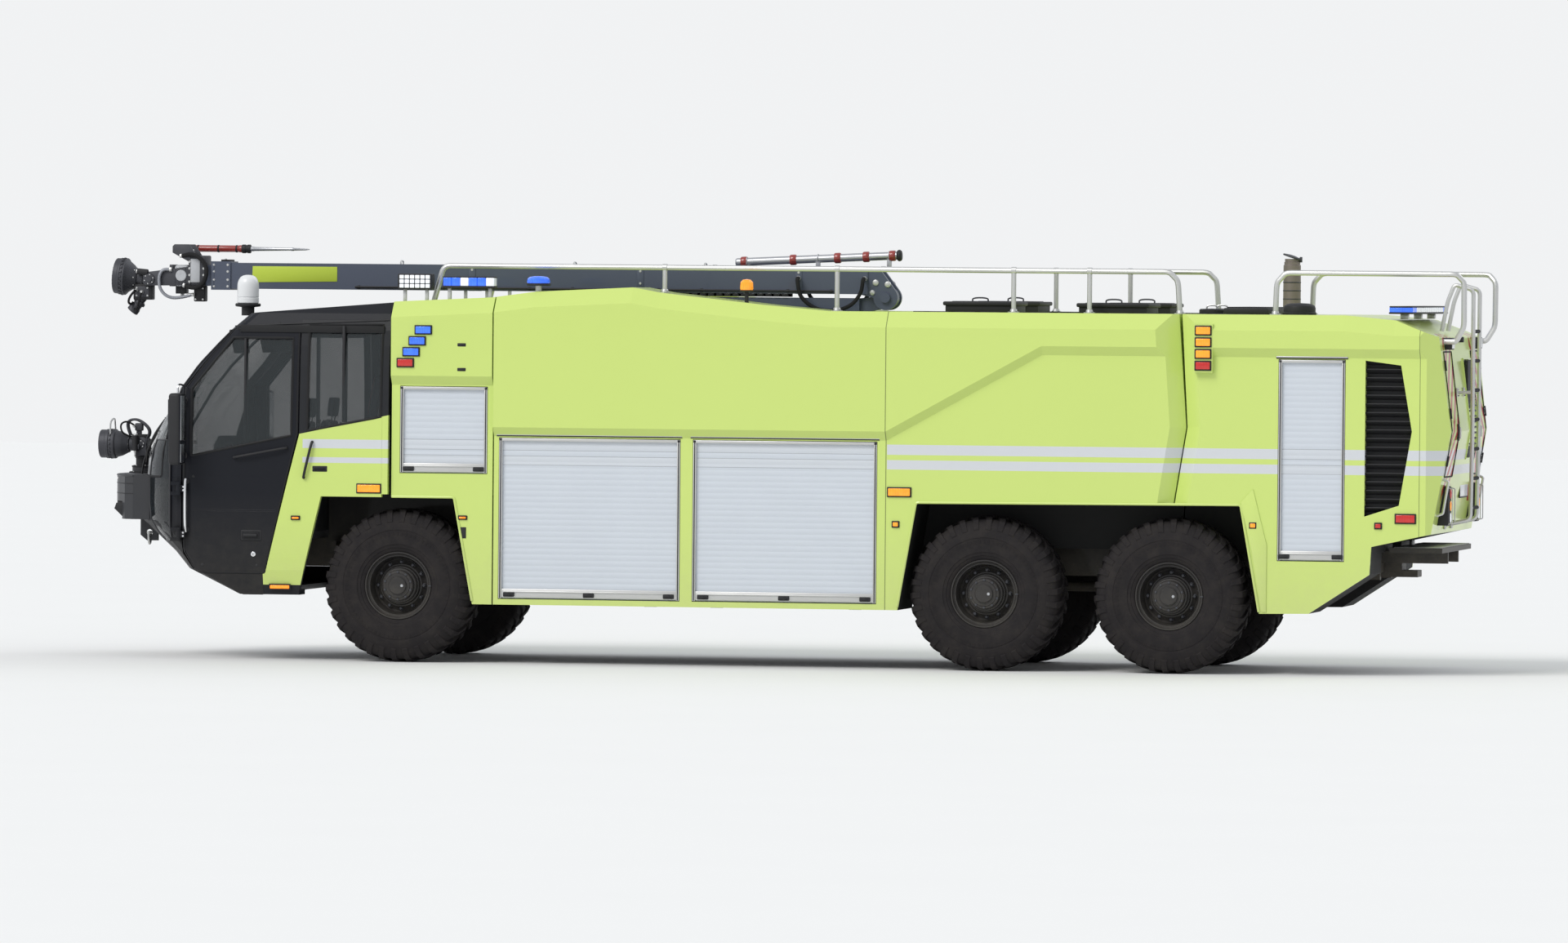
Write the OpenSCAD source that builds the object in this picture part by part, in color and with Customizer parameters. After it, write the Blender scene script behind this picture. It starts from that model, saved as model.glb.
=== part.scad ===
// Six-wheel airport fire truck with a folding roof boom, in millimetres.
// The front points to -X and the left side to -Y. The ground is z = 0.
// Lengths along the truck are measured rearwards from the front axle.

/* [Overall] */
// Foremost point, the tip of the bumper turret
front_x = -3090; // [-3300:5:-2900]
// Rearmost point, the bend of the rear rail
rear_x = 9560; // [9300:5:9800]
// Half the width over the upper body
body_half = 1500; // [1400:5:1550]
// How far the locker walls stand in from the body sides
locker_in = 55; // [30:5:100]
// Bottom edge of the side lockers
sill_z = 530; // [450:5:650]
// Gap between neighbouring panels
panel_gap = 12; // [8:1:20]
// Gap between parts that rest on one another
rest_gap = 0.2; // [0.1:0.1:0.5]

/* [Wheels] */
// Tyre diameter over the lugs
tyre_d = 1370; // [1250:5:1450]
// Tyre width
tyre_w = 600; // [520:5:640]
// Middle plane of the tyres from the centre line
track_y = 1118; // [1050:1:1160]
// Rim diameter
rim_d = 610; // [560:5:640]
// Middle axle position
mid_x = 5310; // [5100:5:5500]
// Rear axle position
rear_axle_x = 6960; // [6800:5:7100]
// Radius of each stub axle
stub_r = 62; // [50:1:80]
// Side gap of each pivot between its ears
pivot_gap = 0.3; // [0.2:0.1:1]
// Running gap of a hub on its stub axle
stub_gap = 0.05; // [0.02:0.01:0.1]
// Kingpin distance from the centre line
kingpin_y = 930; // [880:5:1000]
// Radius of the kingpin
kingpin_r = 34; // [25:1:45]

/* [Chassis] */
// Outer face of each chassis rail from the centre line
rail_y = 420; // [380:5:430]
// Bottom of the chassis rails
rail_z = 830; // [800:5:860]
// Height of the chassis rails
rail_h = 250; // [200:5:280]
// Engine length, width and height
engine_size = [1250, 820, 950]; // [500:10:1500]
// Front face of the engine
engine_x = 7450; // [7350:5:7600]

/* [Cab] */
// Rear wall of the cab
cab_rear_x = -80; // [-120:5:-60]
// Thickness of the cab walls and doors
wall = 55; // [40:1:70]
// Glass thickness
glass_t = 12; // [6:1:16]
// Height of the low floor
floor_z = 1150; // [1100:5:1250]
// Height of the raised floor over the wheels
deck_z = 1560; // [1540:5:1620]

/* [Body] */
// Joint between the front lockers and the tank body
front_split_x = 880; // [850:5:900]
// Height of the side crease over the rear arches
crease_z = 2800; // [2700:10:2900]
// Height of the beltline edge over the main shutters
belt_z = 2030; // [1980:5:2080]
// Drop of the sloped roof edges
roof_drop = 140; // [100:5:180]
// Width of the sloped roof edges
roof_in = 120; // [80:5:160]
// Depth of the shutter recesses
shutter_in = 45; // [30:1:60]
// Height of the arches
arch_z = 1490; // [1440:5:1520]

/* [Boom] */
// Height of the upper boom section
boom_h = 235; // [200:5:260]
// Width of the upper boom section
boom_w = 270; // [220:5:300]
// Bottom of the upper boom when stowed
boom_z = 3320; // [3310:5:3350]
// Front end of the outer boom
boom_tip_x = -1860; // [-2000:5:-1700]
// Elbow pin position
elbow_x = 4170; // [4000:5:4300]
// Elbow pin height
elbow_z = 3290; // [3260:5:3300]
// Turntable axis
slew_x = 1900; // [1800:5:2000]
// Pivot height of the lower boom
base_z = 3170; // [3150:5:3200]
// Pin radius of the boom joints
pin_r = 45; // [35:1:60]

/* [Rails] */
// Handrail tube diameter
tube_d = 50; // [38:1:60]
// Height of the roof behind the boom
roof_z = 3170; // [3100:5:3200]
// Height of the handrails over the roof
rail_rise = 375; // [320:5:420]
// Handrail distance from the centre line
rail_side = 1150; // [1100:5:1250]

/* [Hidden] */
$fn = 48;
locker_half = body_half - locker_in;
rail_top = roof_z + rail_rise;
// half width of anything cut right across the truck
wide = body_half + 100;
// inner and outer end of each headlamp pocket
lamp_y = [640, 940];
// near end of the bumper block
bumper_end = -body_half + 420;
turret_x = -2700;
turret_z = 1900;
head_x = boom_tip_x - 240;
nozzle_px = head_x - 530;
nozzle_pz = 3400;
lance_x = head_x - 270;
lance_z = 3682;
// the lance swings beside the nozzle
lance_y = 225;
shift_x = -(front_x + rear_x) / 2;
hub_z = tyre_d / 2;
lime = [0.80, 0.89, 0.42];
dark = [0.11, 0.12, 0.14];
silver = [0.80, 0.82, 0.84];
boom_grey = [0.30, 0.33, 0.40];
rubber = [0.19, 0.17, 0.17];
axle_x = [0, mid_x, rear_axle_x];
// roof line of the body, [x, z]
roof_line = [[-55, 3220], [840, 3265], [1240, 3320], [2120, 3365], [2370, 3320],
  [3310, roof_z + 50], [3900, roof_z], [8500, roof_z + 5]];
// split between tank body and engine module, [x, z] from the top down
beak = [[7030, 3300], [7030, 3172], [7100, 2175], [6990, arch_z], [6960, 1000]];
// side outline of the front arch and of the rear arch
front_arch = [[-900, 300], [-900, 620], [-690, 1475], [520, 1475], [690, sill_z], [690, 300]];
rear_arch = [[4540, 300], [4540, sill_z], [4700, arch_z], [7600, arch_z + 15],
  [7770, 560], [7770, 300]];
// cab outline by level: height, front at the middle, start of the curve, half width
levels = [[590, -1545, -1430, body_half - 100], [810, -2080, -1800, body_half - 50],
  [960, -2240, -1850, body_half - 35], [1230, -2600, -1870, body_half - 20],
  [1640, -2580, -1880, body_half - 10], [1840, -2560, -1880, body_half - 12],
  [2020, -2470, -1880, body_half - 16], [2420, -2220, -1865, body_half - 34],
  [2640, -2040, -1720, body_half - 50], [2820, -1860, -1565, body_half - 70],
  [2960, -1700, -1450, body_half - 95], [3110, -1520, -1290, body_half - 155],
  [3290, -1290, -1090, body_half - 285]];
// side outlines, [x, z]
door_line = [[-1965, 960], [-1965, 2430], [-1530, 2960], [-905, 2960], [-905, 2030],
  [-1215, 785], [-1850, 785]];
door_window = [[-1885, 1825], [-1885, 2425], [-1515, 2885], [-965, 2885], [-965, 2015]];
rear_window = [[-820, 2060], [-820, 3000], [-150, 3010], [-150, 2190]];

// windscreen opening seen from the side, and half its width
screen_line = [[-2800, 1626], [-2800, 2945], [door_line[2][0] - 75, 2945],
  door_line[1] - [65, 0], [door_line[1][0] - 65, 1626]];
screen_half = body_half - 155;
// hinge axis of the left door, and the height of each hinge
hinge = [-1990, -body_half - 10];
hinge_z = [1090, 1500];
hinge_r = 12;

// clockwise outline drawn in by d
function inset(p, d) = [for (i = [0:len(p) - 1])
  let (a = p[(i + len(p) - 1) % len(p)], b = p[i], c = p[(i + 1) % len(p)],
    u = (b - a) / norm(b - a), v = (c - b) / norm(c - b))
  b + [u[1] + v[1], -u[0] - v[0]] * d / (1 + u * v)];

// shared shapes

// moves everything so that the origin lies under the middle of the truck
module place() { translate([shift_x, 0, 0]) children(); }

// makes the shape and its mirror image on the other side
module both() { children(); mirror([0, 1, 0]) children(); }

module box(x0, x1, y0, y1, z0, z1) {
  translate([x0, y0, z0]) cube([x1 - x0, y1 - y0, z1 - z0]);
}

// side outline made solid between two distances from the centre line
module slab(y0, y1, outline) {
  translate([0, y1, 0]) rotate([90, 0, 0]) linear_extrude(y1 - y0) polygon(outline);
}

// cylinder across the truck
module across(x, z, y0, y1, r) {
  translate([x, y0, z]) rotate([-90, 0, 0]) cylinder(h = y1 - y0, r = r);
}

// round bar between two points
module rod(a, b, r) {
  d = b - a;
  h = norm(d);
  translate(a) rotate([0, acos(d[2] / h), atan2(d[1], d[0])]) cylinder(h = h, r = r, $fn = 20);
}

// bent tube through a list of points
module tube_run(pts, r) {
  for (i = [0:len(pts) - 2]) rod(pts[i], pts[i + 1], r);
  for (i = [1:len(pts) - 2]) translate(pts[i]) sphere(r = r + 1, $fn = 20);
}

// solid through a list of sections that all have the same number of points
module loft(sections) {
  n = len(sections[0]);
  m = len(sections);
  polyhedron(
    points = [for (s = sections) for (p = s) p],
    faces = concat(
      [[for (i = [n - 1:-1:0]) i]],
      [[for (i = [0:n - 1]) (m - 1) * n + i]],
      [for (j = [0:m - 2]) for (i = [0:n - 1])
        [j * n + i, j * n + (i + 1) % n, (j + 1) * n + (i + 1) % n]],
      [for (j = [0:m - 2]) for (i = [0:n - 1])
        [j * n + i, (j + 1) * n + (i + 1) % n, (j + 1) * n + i]]));
}

// everything below the roof line, for parts that stand on the roof
module under_roof(gap) {
  slab(-wide, wide, concat([for (p = roof_line) [p[0], p[1] + gap]],
    [[9500, roof_z + 5 + gap], [9500, 2000], [-55, 2000]]));
}

// cab

// outline of the cab at one level, drawn in by t
function cab_ring(l, t) = concat(
  [[100, -(l[3] - t), l[0]]],
  [for (a = [-90:11.25:90])
    [l[2] + t * 0.6 - (l[2] - l[1] - t * 0.4) * cos(a), (l[3] - t) * sin(a), l[0]]],
  [[100, l[3] - t, l[0]]]);

module cab_form(t) {
  intersection() {
    loft([for (l = levels) cab_ring(l, t)]);
    slab(-wide, wide, [[-2800, 580 + t], [-2800, 2980 - t], [-1300, 3113 - t],
      [cab_rear_x - t, 3212 - t], [cab_rear_x - t, 580 + t]]);
  }
}

module cab_shell() {
  difference() {
    cab_form(0);
    cab_form(wall);
  }
}

// thin pane that follows the cab surface
module cab_pane() {
  difference() {
    cab_form(14);
    cab_form(14 + glass_t);
  }
}

module cab_nose() {
  place() color(dark) union() {
    intersection() {
      cab_shell();
      slab(-wide, wide, [[-2800, 560], [-1228, 560], [-1228, 773], [-1855, 773],
        [-1977, 948], [-1977, 1625], [-2800, 1625]]);
    }
    both() nose_hinges();
  }
}

module cab_roof() {
  place() color(dark) difference() {
    intersection() {
      cab_shell();
      slab(-wide, wide, [[-2800, 1626], [-1977, 1626], [-1977, 2434], [-1535, 2972],
        [-893, 2972], [-893, 3052], [0, 3052], [0, 3400], [-2800, 3400]]);
    }
    slab(-screen_half, screen_half, screen_line);
  }
}

module cab_sides() {
  place() color(lime) difference() {
    intersection() {
      cab_shell();
      slab(-wide, wide, [[-893, 3051], [-893, 2025], [-1203, 785], [-1227, 774], [-1227, 560],
        [cab_rear_x - wall - 1, 560], [cab_rear_x - wall - 1, 3051]]);
      both() box(-1300, -100, 1180, wide, 500, 3400);
    }
    slab(-wide, wide, front_arch);
    slab(-wide, wide, rear_window);
  }
}

module cab_rear_wall() {
  place() color(lime) difference() {
    intersection() {
      cab_form(0);
      box(cab_rear_x - wall, cab_rear_x, -wide, wide, deck_z - 60, 3052 - 1);
    }
    both() box(-300, 0, 500, 1150, 2250, 2850);
  }
}

module cab_floor() {
  place() color(dark) intersection() {
    cab_form(wall + rest_gap);
    slab(-1450, 1450, [[-2600, rail_z + rail_h + rest_gap], [-930, rail_z + rail_h + rest_gap],
      [-875, floor_z], [-875, deck_z - 50], [cab_rear_x - wall - rest_gap, deck_z - 50],
      [cab_rear_x - wall - rest_gap, deck_z], [-940, deck_z], [-940, floor_z], [-2600, floor_z]]);
    // the front corners are drawn in, clear of the doors' swing
    union() {
      box(-2650, 0, -1270, 1270, 0, 3000);
      box(-1740, 0, -wide, wide, 0, 3000);
    }
  }
}

module windscreen() {
  place() color([0.35, 0.42, 0.48]) intersection() {
    cab_pane();
    slab(-screen_half + rest_gap, screen_half - rest_gap, inset(screen_line, rest_gap));
  }
}

module cab_side_windows() {
  place() color([0.35, 0.42, 0.48]) intersection() {
    cab_pane();
    slab(-wide, wide, inset(rear_window, rest_gap));
    both() box(-900, -100, 1100, wide, 2000, 3100);
  }
}

module door(side) {
  difference() {
    intersection() {
      cab_shell();
      slab(-wide, wide, door_line);
      box(-2100, -800, side > 0 ? 1000 : -wide, side > 0 ? wide : -1000, 500, 3300);
    }
    slab(-wide, wide, door_window);
  }
}

module door_pane(side) {
  intersection() {
    cab_pane();
    slab(-wide, wide, inset(door_window, rest_gap));
    box(-2100, -800, side > 0 ? 1000 : -wide, side > 0 ? wide : -1000, 500, 3300);
  }
}

// mirror on two arms beside the front edge of the left door
module mirror_unit() {
  difference() {
    union() {
      box(-2010, -1910, -body_half - 290, -body_half - 90, 1760, 2370);
      for (z = [1810, 2300]) box(-1970, -1940, -wide, -body_half + 60, z, z + 30);
    }
    cab_form(wall / 2);
  }
}

// knuckles of the left door, each with a leaf on the door
module door_knuckles() {
  difference() {
    union() for (z = hinge_z) {
      translate([hinge[0], hinge[1], z]) cylinder(h = 60, r = 22);
      box(hinge[0], -1930, -body_half - 18, -body_half + 30, z, z + 60);
    }
    for (z = hinge_z) translate([hinge[0], hinge[1], z - 1]) cylinder(h = 62, r = hinge_r + stub_gap);
    cab_form(20);
    box(-2100, -1966, -body_half + 10, -body_half + 100, 1000, 1700);
  }
}

// hinge pins and their lugs on the left edge of the nose
module nose_hinges() {
  for (z = hinge_z) {
    translate([hinge[0], hinge[1], z - 30]) cylinder(h = 120, r = hinge_r);
    difference() {
      for (h = [z - 30, z + 60 + pivot_gap]) {
        translate([hinge[0], hinge[1], h]) cylinder(h = 30 - pivot_gap, r = 22);
        box(-2060, hinge[0], -body_half - 28, -body_half + 100, h, h + 30 - pivot_gap);
      }
      cab_form(20);
    }
  }
}

module door_left() { place() color(dark) union() { door(-1); mirror_unit(); door_knuckles(); } }
module door_right() {
  place() color(dark) union() { door(1); mirror([0, 1, 0]) { mirror_unit(); door_knuckles(); } }
}
module door_glass_left() { place() color([0.35, 0.42, 0.48]) door_pane(-1); }
module door_glass_right() { place() color([0.35, 0.42, 0.48]) door_pane(1); }

module dashboard() {
  place() color([0.16, 0.16, 0.18]) {
    intersection() {
      cab_form(wall + 6);
      slab(-1300, 1300, [[-2600, floor_z + rest_gap], [-2300, floor_z + rest_gap], [-2180, 1500],
        [-2000, 1600], [-2020, 1680], [-2300, 1720], [-2600, 1680]]);
    }
    // steering wheel on its column
    translate([-1900, -450, 1740]) rotate([0, -55, 0]) {
      rotate_extrude($fn = 40) translate([215, 0]) circle(r = 16, $fn = 16);
      for (a = [0:120:240]) rotate([0, 0, a]) box(0, 212, -14, 14, -6, 6);
      translate([0, 0, -6]) cylinder(h = 20, r = 45, $fn = 24);
      translate([0, 0, -260]) cylinder(h = 262, r = 28, $fn = 24);
    }
  }
}

// seat at x, y on a floor at z
module seat(x, y, z) {
  box(x - 180, x + 200, y - 190, y + 190, z, z + 300);
  slab(y - 240, y + 240, [[x - 260, z + 300], [x + 230, z + 300], [x + 330, z + 1000],
    [x + 220, z + 1000], [x + 110, z + 440], [x - 260, z + 440]]);
  slab(y - 130, y + 130, [[x + 242, z + 1000], [x + 328, z + 1000], [x + 340, z + 1200],
    [x + 270, z + 1200]]);
}

module seats() {
  place() color([0.20, 0.21, 0.24]) {
    for (y = [-450, 450]) seat(-1330, y, floor_z + rest_gap);
    for (y = [-700, 0, 700]) seat(-560, y, deck_z + rest_gap);
  }
}

// front end

module bumper() {
  place() color([0.18, 0.18, 0.20]) {
    difference() {
      translate([0, 0, 1240]) linear_extrude(400) polygon([[-2830, -300], [-2790, -580],
        [-2710, -830], [-2610, -1020], [-2520, bumper_end], [-2300, bumper_end], [-2300, -bumper_end],
        [-2520, -bumper_end], [-2610, 1020], [-2710, 830], [-2790, 580], [-2830, 300]]);
      slab(-wide, wide, [[-2900, 1200], [-2900, 1420], [-2700, 1230], [-2640, 1230], [-2640, 1200]]);
      cab_form(-rest_gap);
      both() box(-2800, -2500, lamp_y[0], lamp_y[1], 1200, 1400);
    }
    // towing eyes under the nose
    for (y = [-600, 600]) difference() {
      slab(y - 22, y + 22, [[-2560, 1241], [-2560, 1090], [-2500, 1040], [-2400, 1040],
        [-2400, 1241]]);
      across(-2480, 1110, y - 60, y + 60, 32);
      cab_form(-rest_gap);
    }
    // foot of the bumper turret
    translate([turret_x, 0, 1639]) cylinder(h = 61, r = 95);
    translate([turret_x, 0, 1699]) cylinder(h = 91, r = 62);
  }
}

module headlamps() {
  place() color([0.92, 0.93, 0.95]) difference() {
    both() slab(lamp_y[0] + rest_gap, lamp_y[1] - rest_gap, [[-2730, 1330], [-2710, 1385],
      [-2565, 1385], [-2565, 1260], [-2650, 1260]]);
    cab_form(-5);
  }
}

module turret_yoke() {
  place() color([0.22, 0.22, 0.25]) {
    translate([turret_x, 0, 1790 + pivot_gap]) cylinder(h = 20, r = 75);
    both() slab(78, 100, [[turret_x - 60, 1796], [turret_x - 55, turret_z + 65],
      [turret_x + 55, turret_z + 65], [turret_x + 60, 1796]]);
    both() box(turret_x - 45, turret_x + 45, 50, 79, 1796, 1835);
  }
}

module turret_nozzle() {
  place() color([0.20, 0.20, 0.23]) {
    across(turret_x, turret_z, -78 + pivot_gap, 78 - pivot_gap, 58);
    translate([turret_x + 55, 0, turret_z]) rotate([0, -90, 0]) cylinder(h = 300, r = 62);
    translate([turret_x - 120, 0, turret_z]) rotate([0, -90, 0]) cylinder(h = 130, r1 = 75, r2 = 125);
    translate([turret_x - 249, 0, turret_z]) rotate([0, -90, 0])
      cylinder(h = turret_x - 249 - front_x, r1 = 135, r2 = 128);
    // piping bent over the barrel
    slab(-35, 35, [[turret_x - 110, turret_z + 40], [turret_x - 170, turret_z + 210],
      [turret_x - 60, turret_z + 235], [turret_x + 75, turret_z + 130], [turret_x + 50, turret_z + 30]]);
  }
}

// running gear

module tyre_form() {
  hw = tyre_w / 2;
  r = tyre_d / 2;
  rotate([-90, 0, 0]) rotate_extrude($fn = 64) polygon([[rim_d / 2 - 8, -hw * 0.80],
    [rim_d / 2 + 40, -hw * 0.97], [r - 190, -hw], [r - 95, -hw * 0.97], [r - 34, -hw * 0.86],
    [r, -hw * 0.58], [r, hw * 0.58], [r - 34, hw * 0.86], [r - 95, hw * 0.97], [r - 190, hw],
    [rim_d / 2 + 40, hw * 0.97], [rim_d / 2 - 8, hw * 0.80]]);
}

// rim of a left wheel: the outer side looks to -Y
module rim_form() {
  rotate([90, 0, 0]) difference() {
    union() {
      rotate_extrude($fn = 48) polygon([[rim_d / 2 - 9, -235], [rim_d / 2 - 9, 235],
        [rim_d / 2 - 35, 235], [rim_d / 2 - 70, 150], [180, 120], [180, 95], [220, 60],
        [rim_d / 2 - 45, 40], [rim_d / 2 - 45, -235]]);
      translate([0, 0, -60]) cylinder(h = 250, r = 185);
      translate([0, 0, 189]) cylinder(h = 95, r1 = 150, r2 = 130);
      translate([0, 0, 283]) cylinder(h = 25, r = 85);
    }
    translate([0, 0, -61]) cylinder(h = 261, r = stub_r + stub_gap);
  }
}

module tyre_at(i, side) {
  place() color(rubber) translate([axle_x[i], side * track_y, hub_z]) tyre_form();
}
module rim_at(i, side) {
  place() color([0.10, 0.10, 0.13]) translate([axle_x[i], side * track_y, hub_z])
    rotate([0, 0, side > 0 ? 180 : 0]) rim_form();
}
module tyre_front_left() { tyre_at(0, -1); }
module tyre_front_right() { tyre_at(0, 1); }
module tyre_mid_left() { tyre_at(1, -1); }
module tyre_mid_right() { tyre_at(1, 1); }
module tyre_rear_left() { tyre_at(2, -1); }
module tyre_rear_right() { tyre_at(2, 1); }
module rim_front_left() { rim_at(0, -1); }
module rim_front_right() { rim_at(0, 1); }
module rim_mid_left() { rim_at(1, -1); }
module rim_mid_right() { rim_at(1, 1); }
module rim_rear_left() { rim_at(2, -1); }
module rim_rear_right() { rim_at(2, 1); }

// hub carrier of the left front wheel, turning on the kingpin
module knuckle_form() {
  translate([0, -kingpin_y, hub_z]) {
    difference() {
      translate([0, 0, -100]) cylinder(h = 200, r = 68);
      translate([0, 0, -101]) cylinder(h = 202, r = kingpin_r + stub_gap);
      translate([0, 78, -101]) box(-100, 100, -40, 100, 0, 202);
    }
    difference() {
      rotate([90, 0, 0]) cylinder(h = track_y - kingpin_y + 190, r = stub_r);
      translate([0, 0, -101]) cylinder(h = 202, r = kingpin_r + 10);
    }
    // steering arm
    box(40, 230, -50, -10, -70, -35);
  }
}
module knuckle_left() { place() color([0.15, 0.15, 0.17]) knuckle_form(); }
module knuckle_right() { place() color([0.15, 0.15, 0.17]) mirror([0, 1, 0]) knuckle_form(); }

module front_axle() {
  place() color([0.15, 0.15, 0.17]) {
    across(0, hub_z, -kingpin_y + 130, kingpin_y - 130, 78);
    across(0, hub_z, -140, 140, 190);
    both() {
      // forked end round the kingpin
      for (z = [hub_z - 165, hub_z + 110]) box(-70, 70, -kingpin_y - 70, -kingpin_y + 170, z, z + 55);
      box(-70, 70, -kingpin_y + 115, -kingpin_y + 170, hub_z - 165, hub_z + 165);
      translate([0, -kingpin_y, hub_z - 160]) cylinder(h = 320, r = kingpin_r);
    }
  }
}

module rear_axles() {
  place() color([0.15, 0.15, 0.17]) for (x = [mid_x, rear_axle_x]) {
    across(x, hub_z, -track_y + 75, track_y - 75, 78);
    across(x, hub_z, -140, 140, 200);
    across(x, hub_z, -track_y - 190, track_y + 190, stub_r);
  }
  // shaft from one axle to the next
  place() color([0.15, 0.15, 0.17]) rod([mid_x + 190, 0, hub_z + 40], [rear_axle_x - 190, 0, hub_z + 40], 45);
}

module springs() {
  place() color([0.14, 0.14, 0.16]) {
    for (x = axle_x) both() {
      // coil spring seat and damper between axle and rail
      difference() {
        translate([x, -375, hub_z + 40]) cylinder(h = rail_z - hub_z - 40 - rest_gap, r = 60);
        across(x, hub_z, -700, 700, 78 + rest_gap);
      }
      box(x - 300, x - 240, -410, -340, rail_z - 110, rail_z - rest_gap);
      rod([x - 270, -375, rail_z - 80], [x - 112, -375, hub_z - 30], 24);
    }
  }
}

module chassis_frame() {
  place() color([0.14, 0.14, 0.16]) {
    both() {
      box(-1500, 8700, -rail_y, -rail_y + 90, rail_z, rail_z + rail_h);
      // brackets that carry the body
      for (x = [-1300, -790, 1100, 2500, 4000, 8100]) box(x, x + 60, -690, -rail_y + 1,
        rail_z + 130, rail_z + 230);
    }
    for (x = [-1450, -700, 900, 2300, 3700, 4500, 6130, 8640])
      box(x, x + 60, -rail_y + 10, rail_y - 10, rail_z + 60, rail_z + 200);
    // inner plates of the front arches
    for (y = [-rail_y - 16, rail_y + 4]) box(-860, 515, y, y + 12, rail_z + 40, arch_z - 16);
    for (y = [-rail_y - 5, rail_y]) box(-300, 300, y, y + 5, rail_z + 60, rail_z + 120);
    // drive shafts to the axles
    rod([260, 0, hub_z + 60], [3750, 0, rail_z + 100], 48);
    rod([3700, 0, rail_z + 100], [mid_x - 199.7, 0, hub_z + 20], 48);
    // rear towing pin
    difference() {
      box(8690, 9000, -140, 140, rail_z + 20, rail_z + 230);
      box(8860, 9001, -141, 141, rail_z + 80, rail_z + 170);
      translate([8930, 0, rail_z]) cylinder(h = 240, r = 27);
    }
    // rear step on two brackets
    box(8860, 9330, -1000, 1000, 1085, 1130);
    for (y = [-380, 330]) {
      box(8600, 8720, y, y + 50, rail_z + 150, rail_z + 200);
      box(engine_x + engine_size[0] + 10, 9300, y, y + 50, rail_z + 150, 1086);
    }
  }
}

module engine_block() {
  place() color([0.35, 0.35, 0.37]) translate([engine_x, -engine_size[1] / 2,
    rail_z + rail_h + rest_gap]) cube(engine_size);
}

// body

function roof_at(x) = lookup(x, roof_line);

// cross-section of the body at x with its roof at top and its belt at b
function body_ring(x, top, b) = [[x, -locker_half, sill_z], [x, -locker_half, b],
  [x, -body_half, b + 80], [x, -body_half, top - roof_drop], [x, -body_half + roof_in, top],
  [x, body_half - roof_in, top], [x, body_half, top - roof_drop], [x, body_half, b + 80],
  [x, locker_half, b], [x, locker_half, sill_z]];

// stations of each body section: x, roof height, belt height
front_stations = [for (x = [-55, 840, front_split_x - panel_gap]) [x, roof_at(x), 2480]];
tank_stations = [for (x = [front_split_x, 1240, 2120, 2370, 3310, 3900, 4430, 5820, 7200])
  [x, roof_at(x), x < 4500 ? belt_z : crease_z]];
rear_stations = [[6800, roof_at(6800), crease_z], [8500, roof_z + 5, crease_z], [8950, roof_z - 32, crease_z]];

// body between its first and last station, cut square at both ends
module body_form(stations) {
  a = stations[0];
  b = stations[len(stations) - 1];
  intersection() {
    loft([for (s = concat([[a[0] - 60, a[1], a[2]]], stations, [[b[0] + 60, b[1], b[2]]]))
      body_ring(s[0], s[1], s[2])]);
    box(a[0], b[0], -wide, wide, 300, 3700);
  }
}

// space under the body for the chassis and the inner arches
module belly() {
  box(-500, 9000, -700, 700, 0, rail_z + rail_h + rest_gap);
  both() {
    slab(690, wide, rear_arch);
    slab(690, wide, front_arch);
    slab(440, 1440, [[-900, 300], [-860, 1475], [850, 1475], [850, 300]]);
  }
}

// V-shaped groove along the split behind the tank body
module beak_groove() {
  both() loft([for (i = [len(beak) - 1:-1:0]) [[beak[i][0] - 330, -wide, beak[i][1]],
    [beak[i][0] + 330, -wide, beak[i][1]], [beak[i][0], -locker_half + 110, beak[i][1]]]]);
}

// deep trough in the roof where the boom lies
module boom_trough() { box(760, 4700, -640, 640, 2900, 3600); }

// recess for a roller shutter, by its opening
shutters_at = [[20, 820, 1690, 2470, locker_half], [925, 2575, 580, 2020, locker_half],
  [2685, 4350, 580, 2020, locker_half], [7925, 8520, 1010, crease_z - 14, locker_half]];
module shutter_recess() {
  both() for (s = shutters_at) box(s[0], s[1], s[4] - shutter_in, s[4] + 60, s[2], s[3]);
}

module body_front() {
  place() color(lime) difference() {
    body_form(front_stations);
    belly();
    box(-100, 520, -1300, 1300, 400, 1476);
    shutter_recess();
    boom_trough();
  }
}

module body_tank() {
  place() color(lime) difference() {
    intersection() {
      body_form(tank_stations);
      slab(-wide, wide, [[front_split_x - 60, 400], [front_split_x - 60, 3500], [7030 - 6, 3500],
        [beak[1][0] - 6, beak[1][1]], [beak[2][0] - 6, beak[2][1]], [beak[3][0] - 6, beak[3][1]],
        [beak[4][0] - 6, beak[4][1]], [beak[4][0] - 6, 400]]);
    }
    belly();
    shutter_recess();
    boom_trough();
    beak_groove();
  }
}

// outline of the engine module seen from the side
rear_line = [[7036, 3500], [8500, 3500], [8500, roof_z + 6], [8950, roof_z - 35], [9330, 2990], [9430, 2160],
  [9280, 1260], [8760, 1145], [8745, 900], [8210, 550], [7760, 545], [6966, 545], [6966, 1000],
  [6996, arch_z], [7106, 2175]];
// everything in front of the rear face, for parts mounted on it
rear_cover = concat([for (i = [2:6]) rear_line[i] + [i > 3 ? 0.5 : 0, i < 4 ? 0.8 : 0]],
  [rear_line[7] - [0, 1], [8500, 1100]]);
intake_line = [[8695, 2780], [9010, 2740], [9110, 2160], [9000, 1510], [8695, 1410]];

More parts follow.
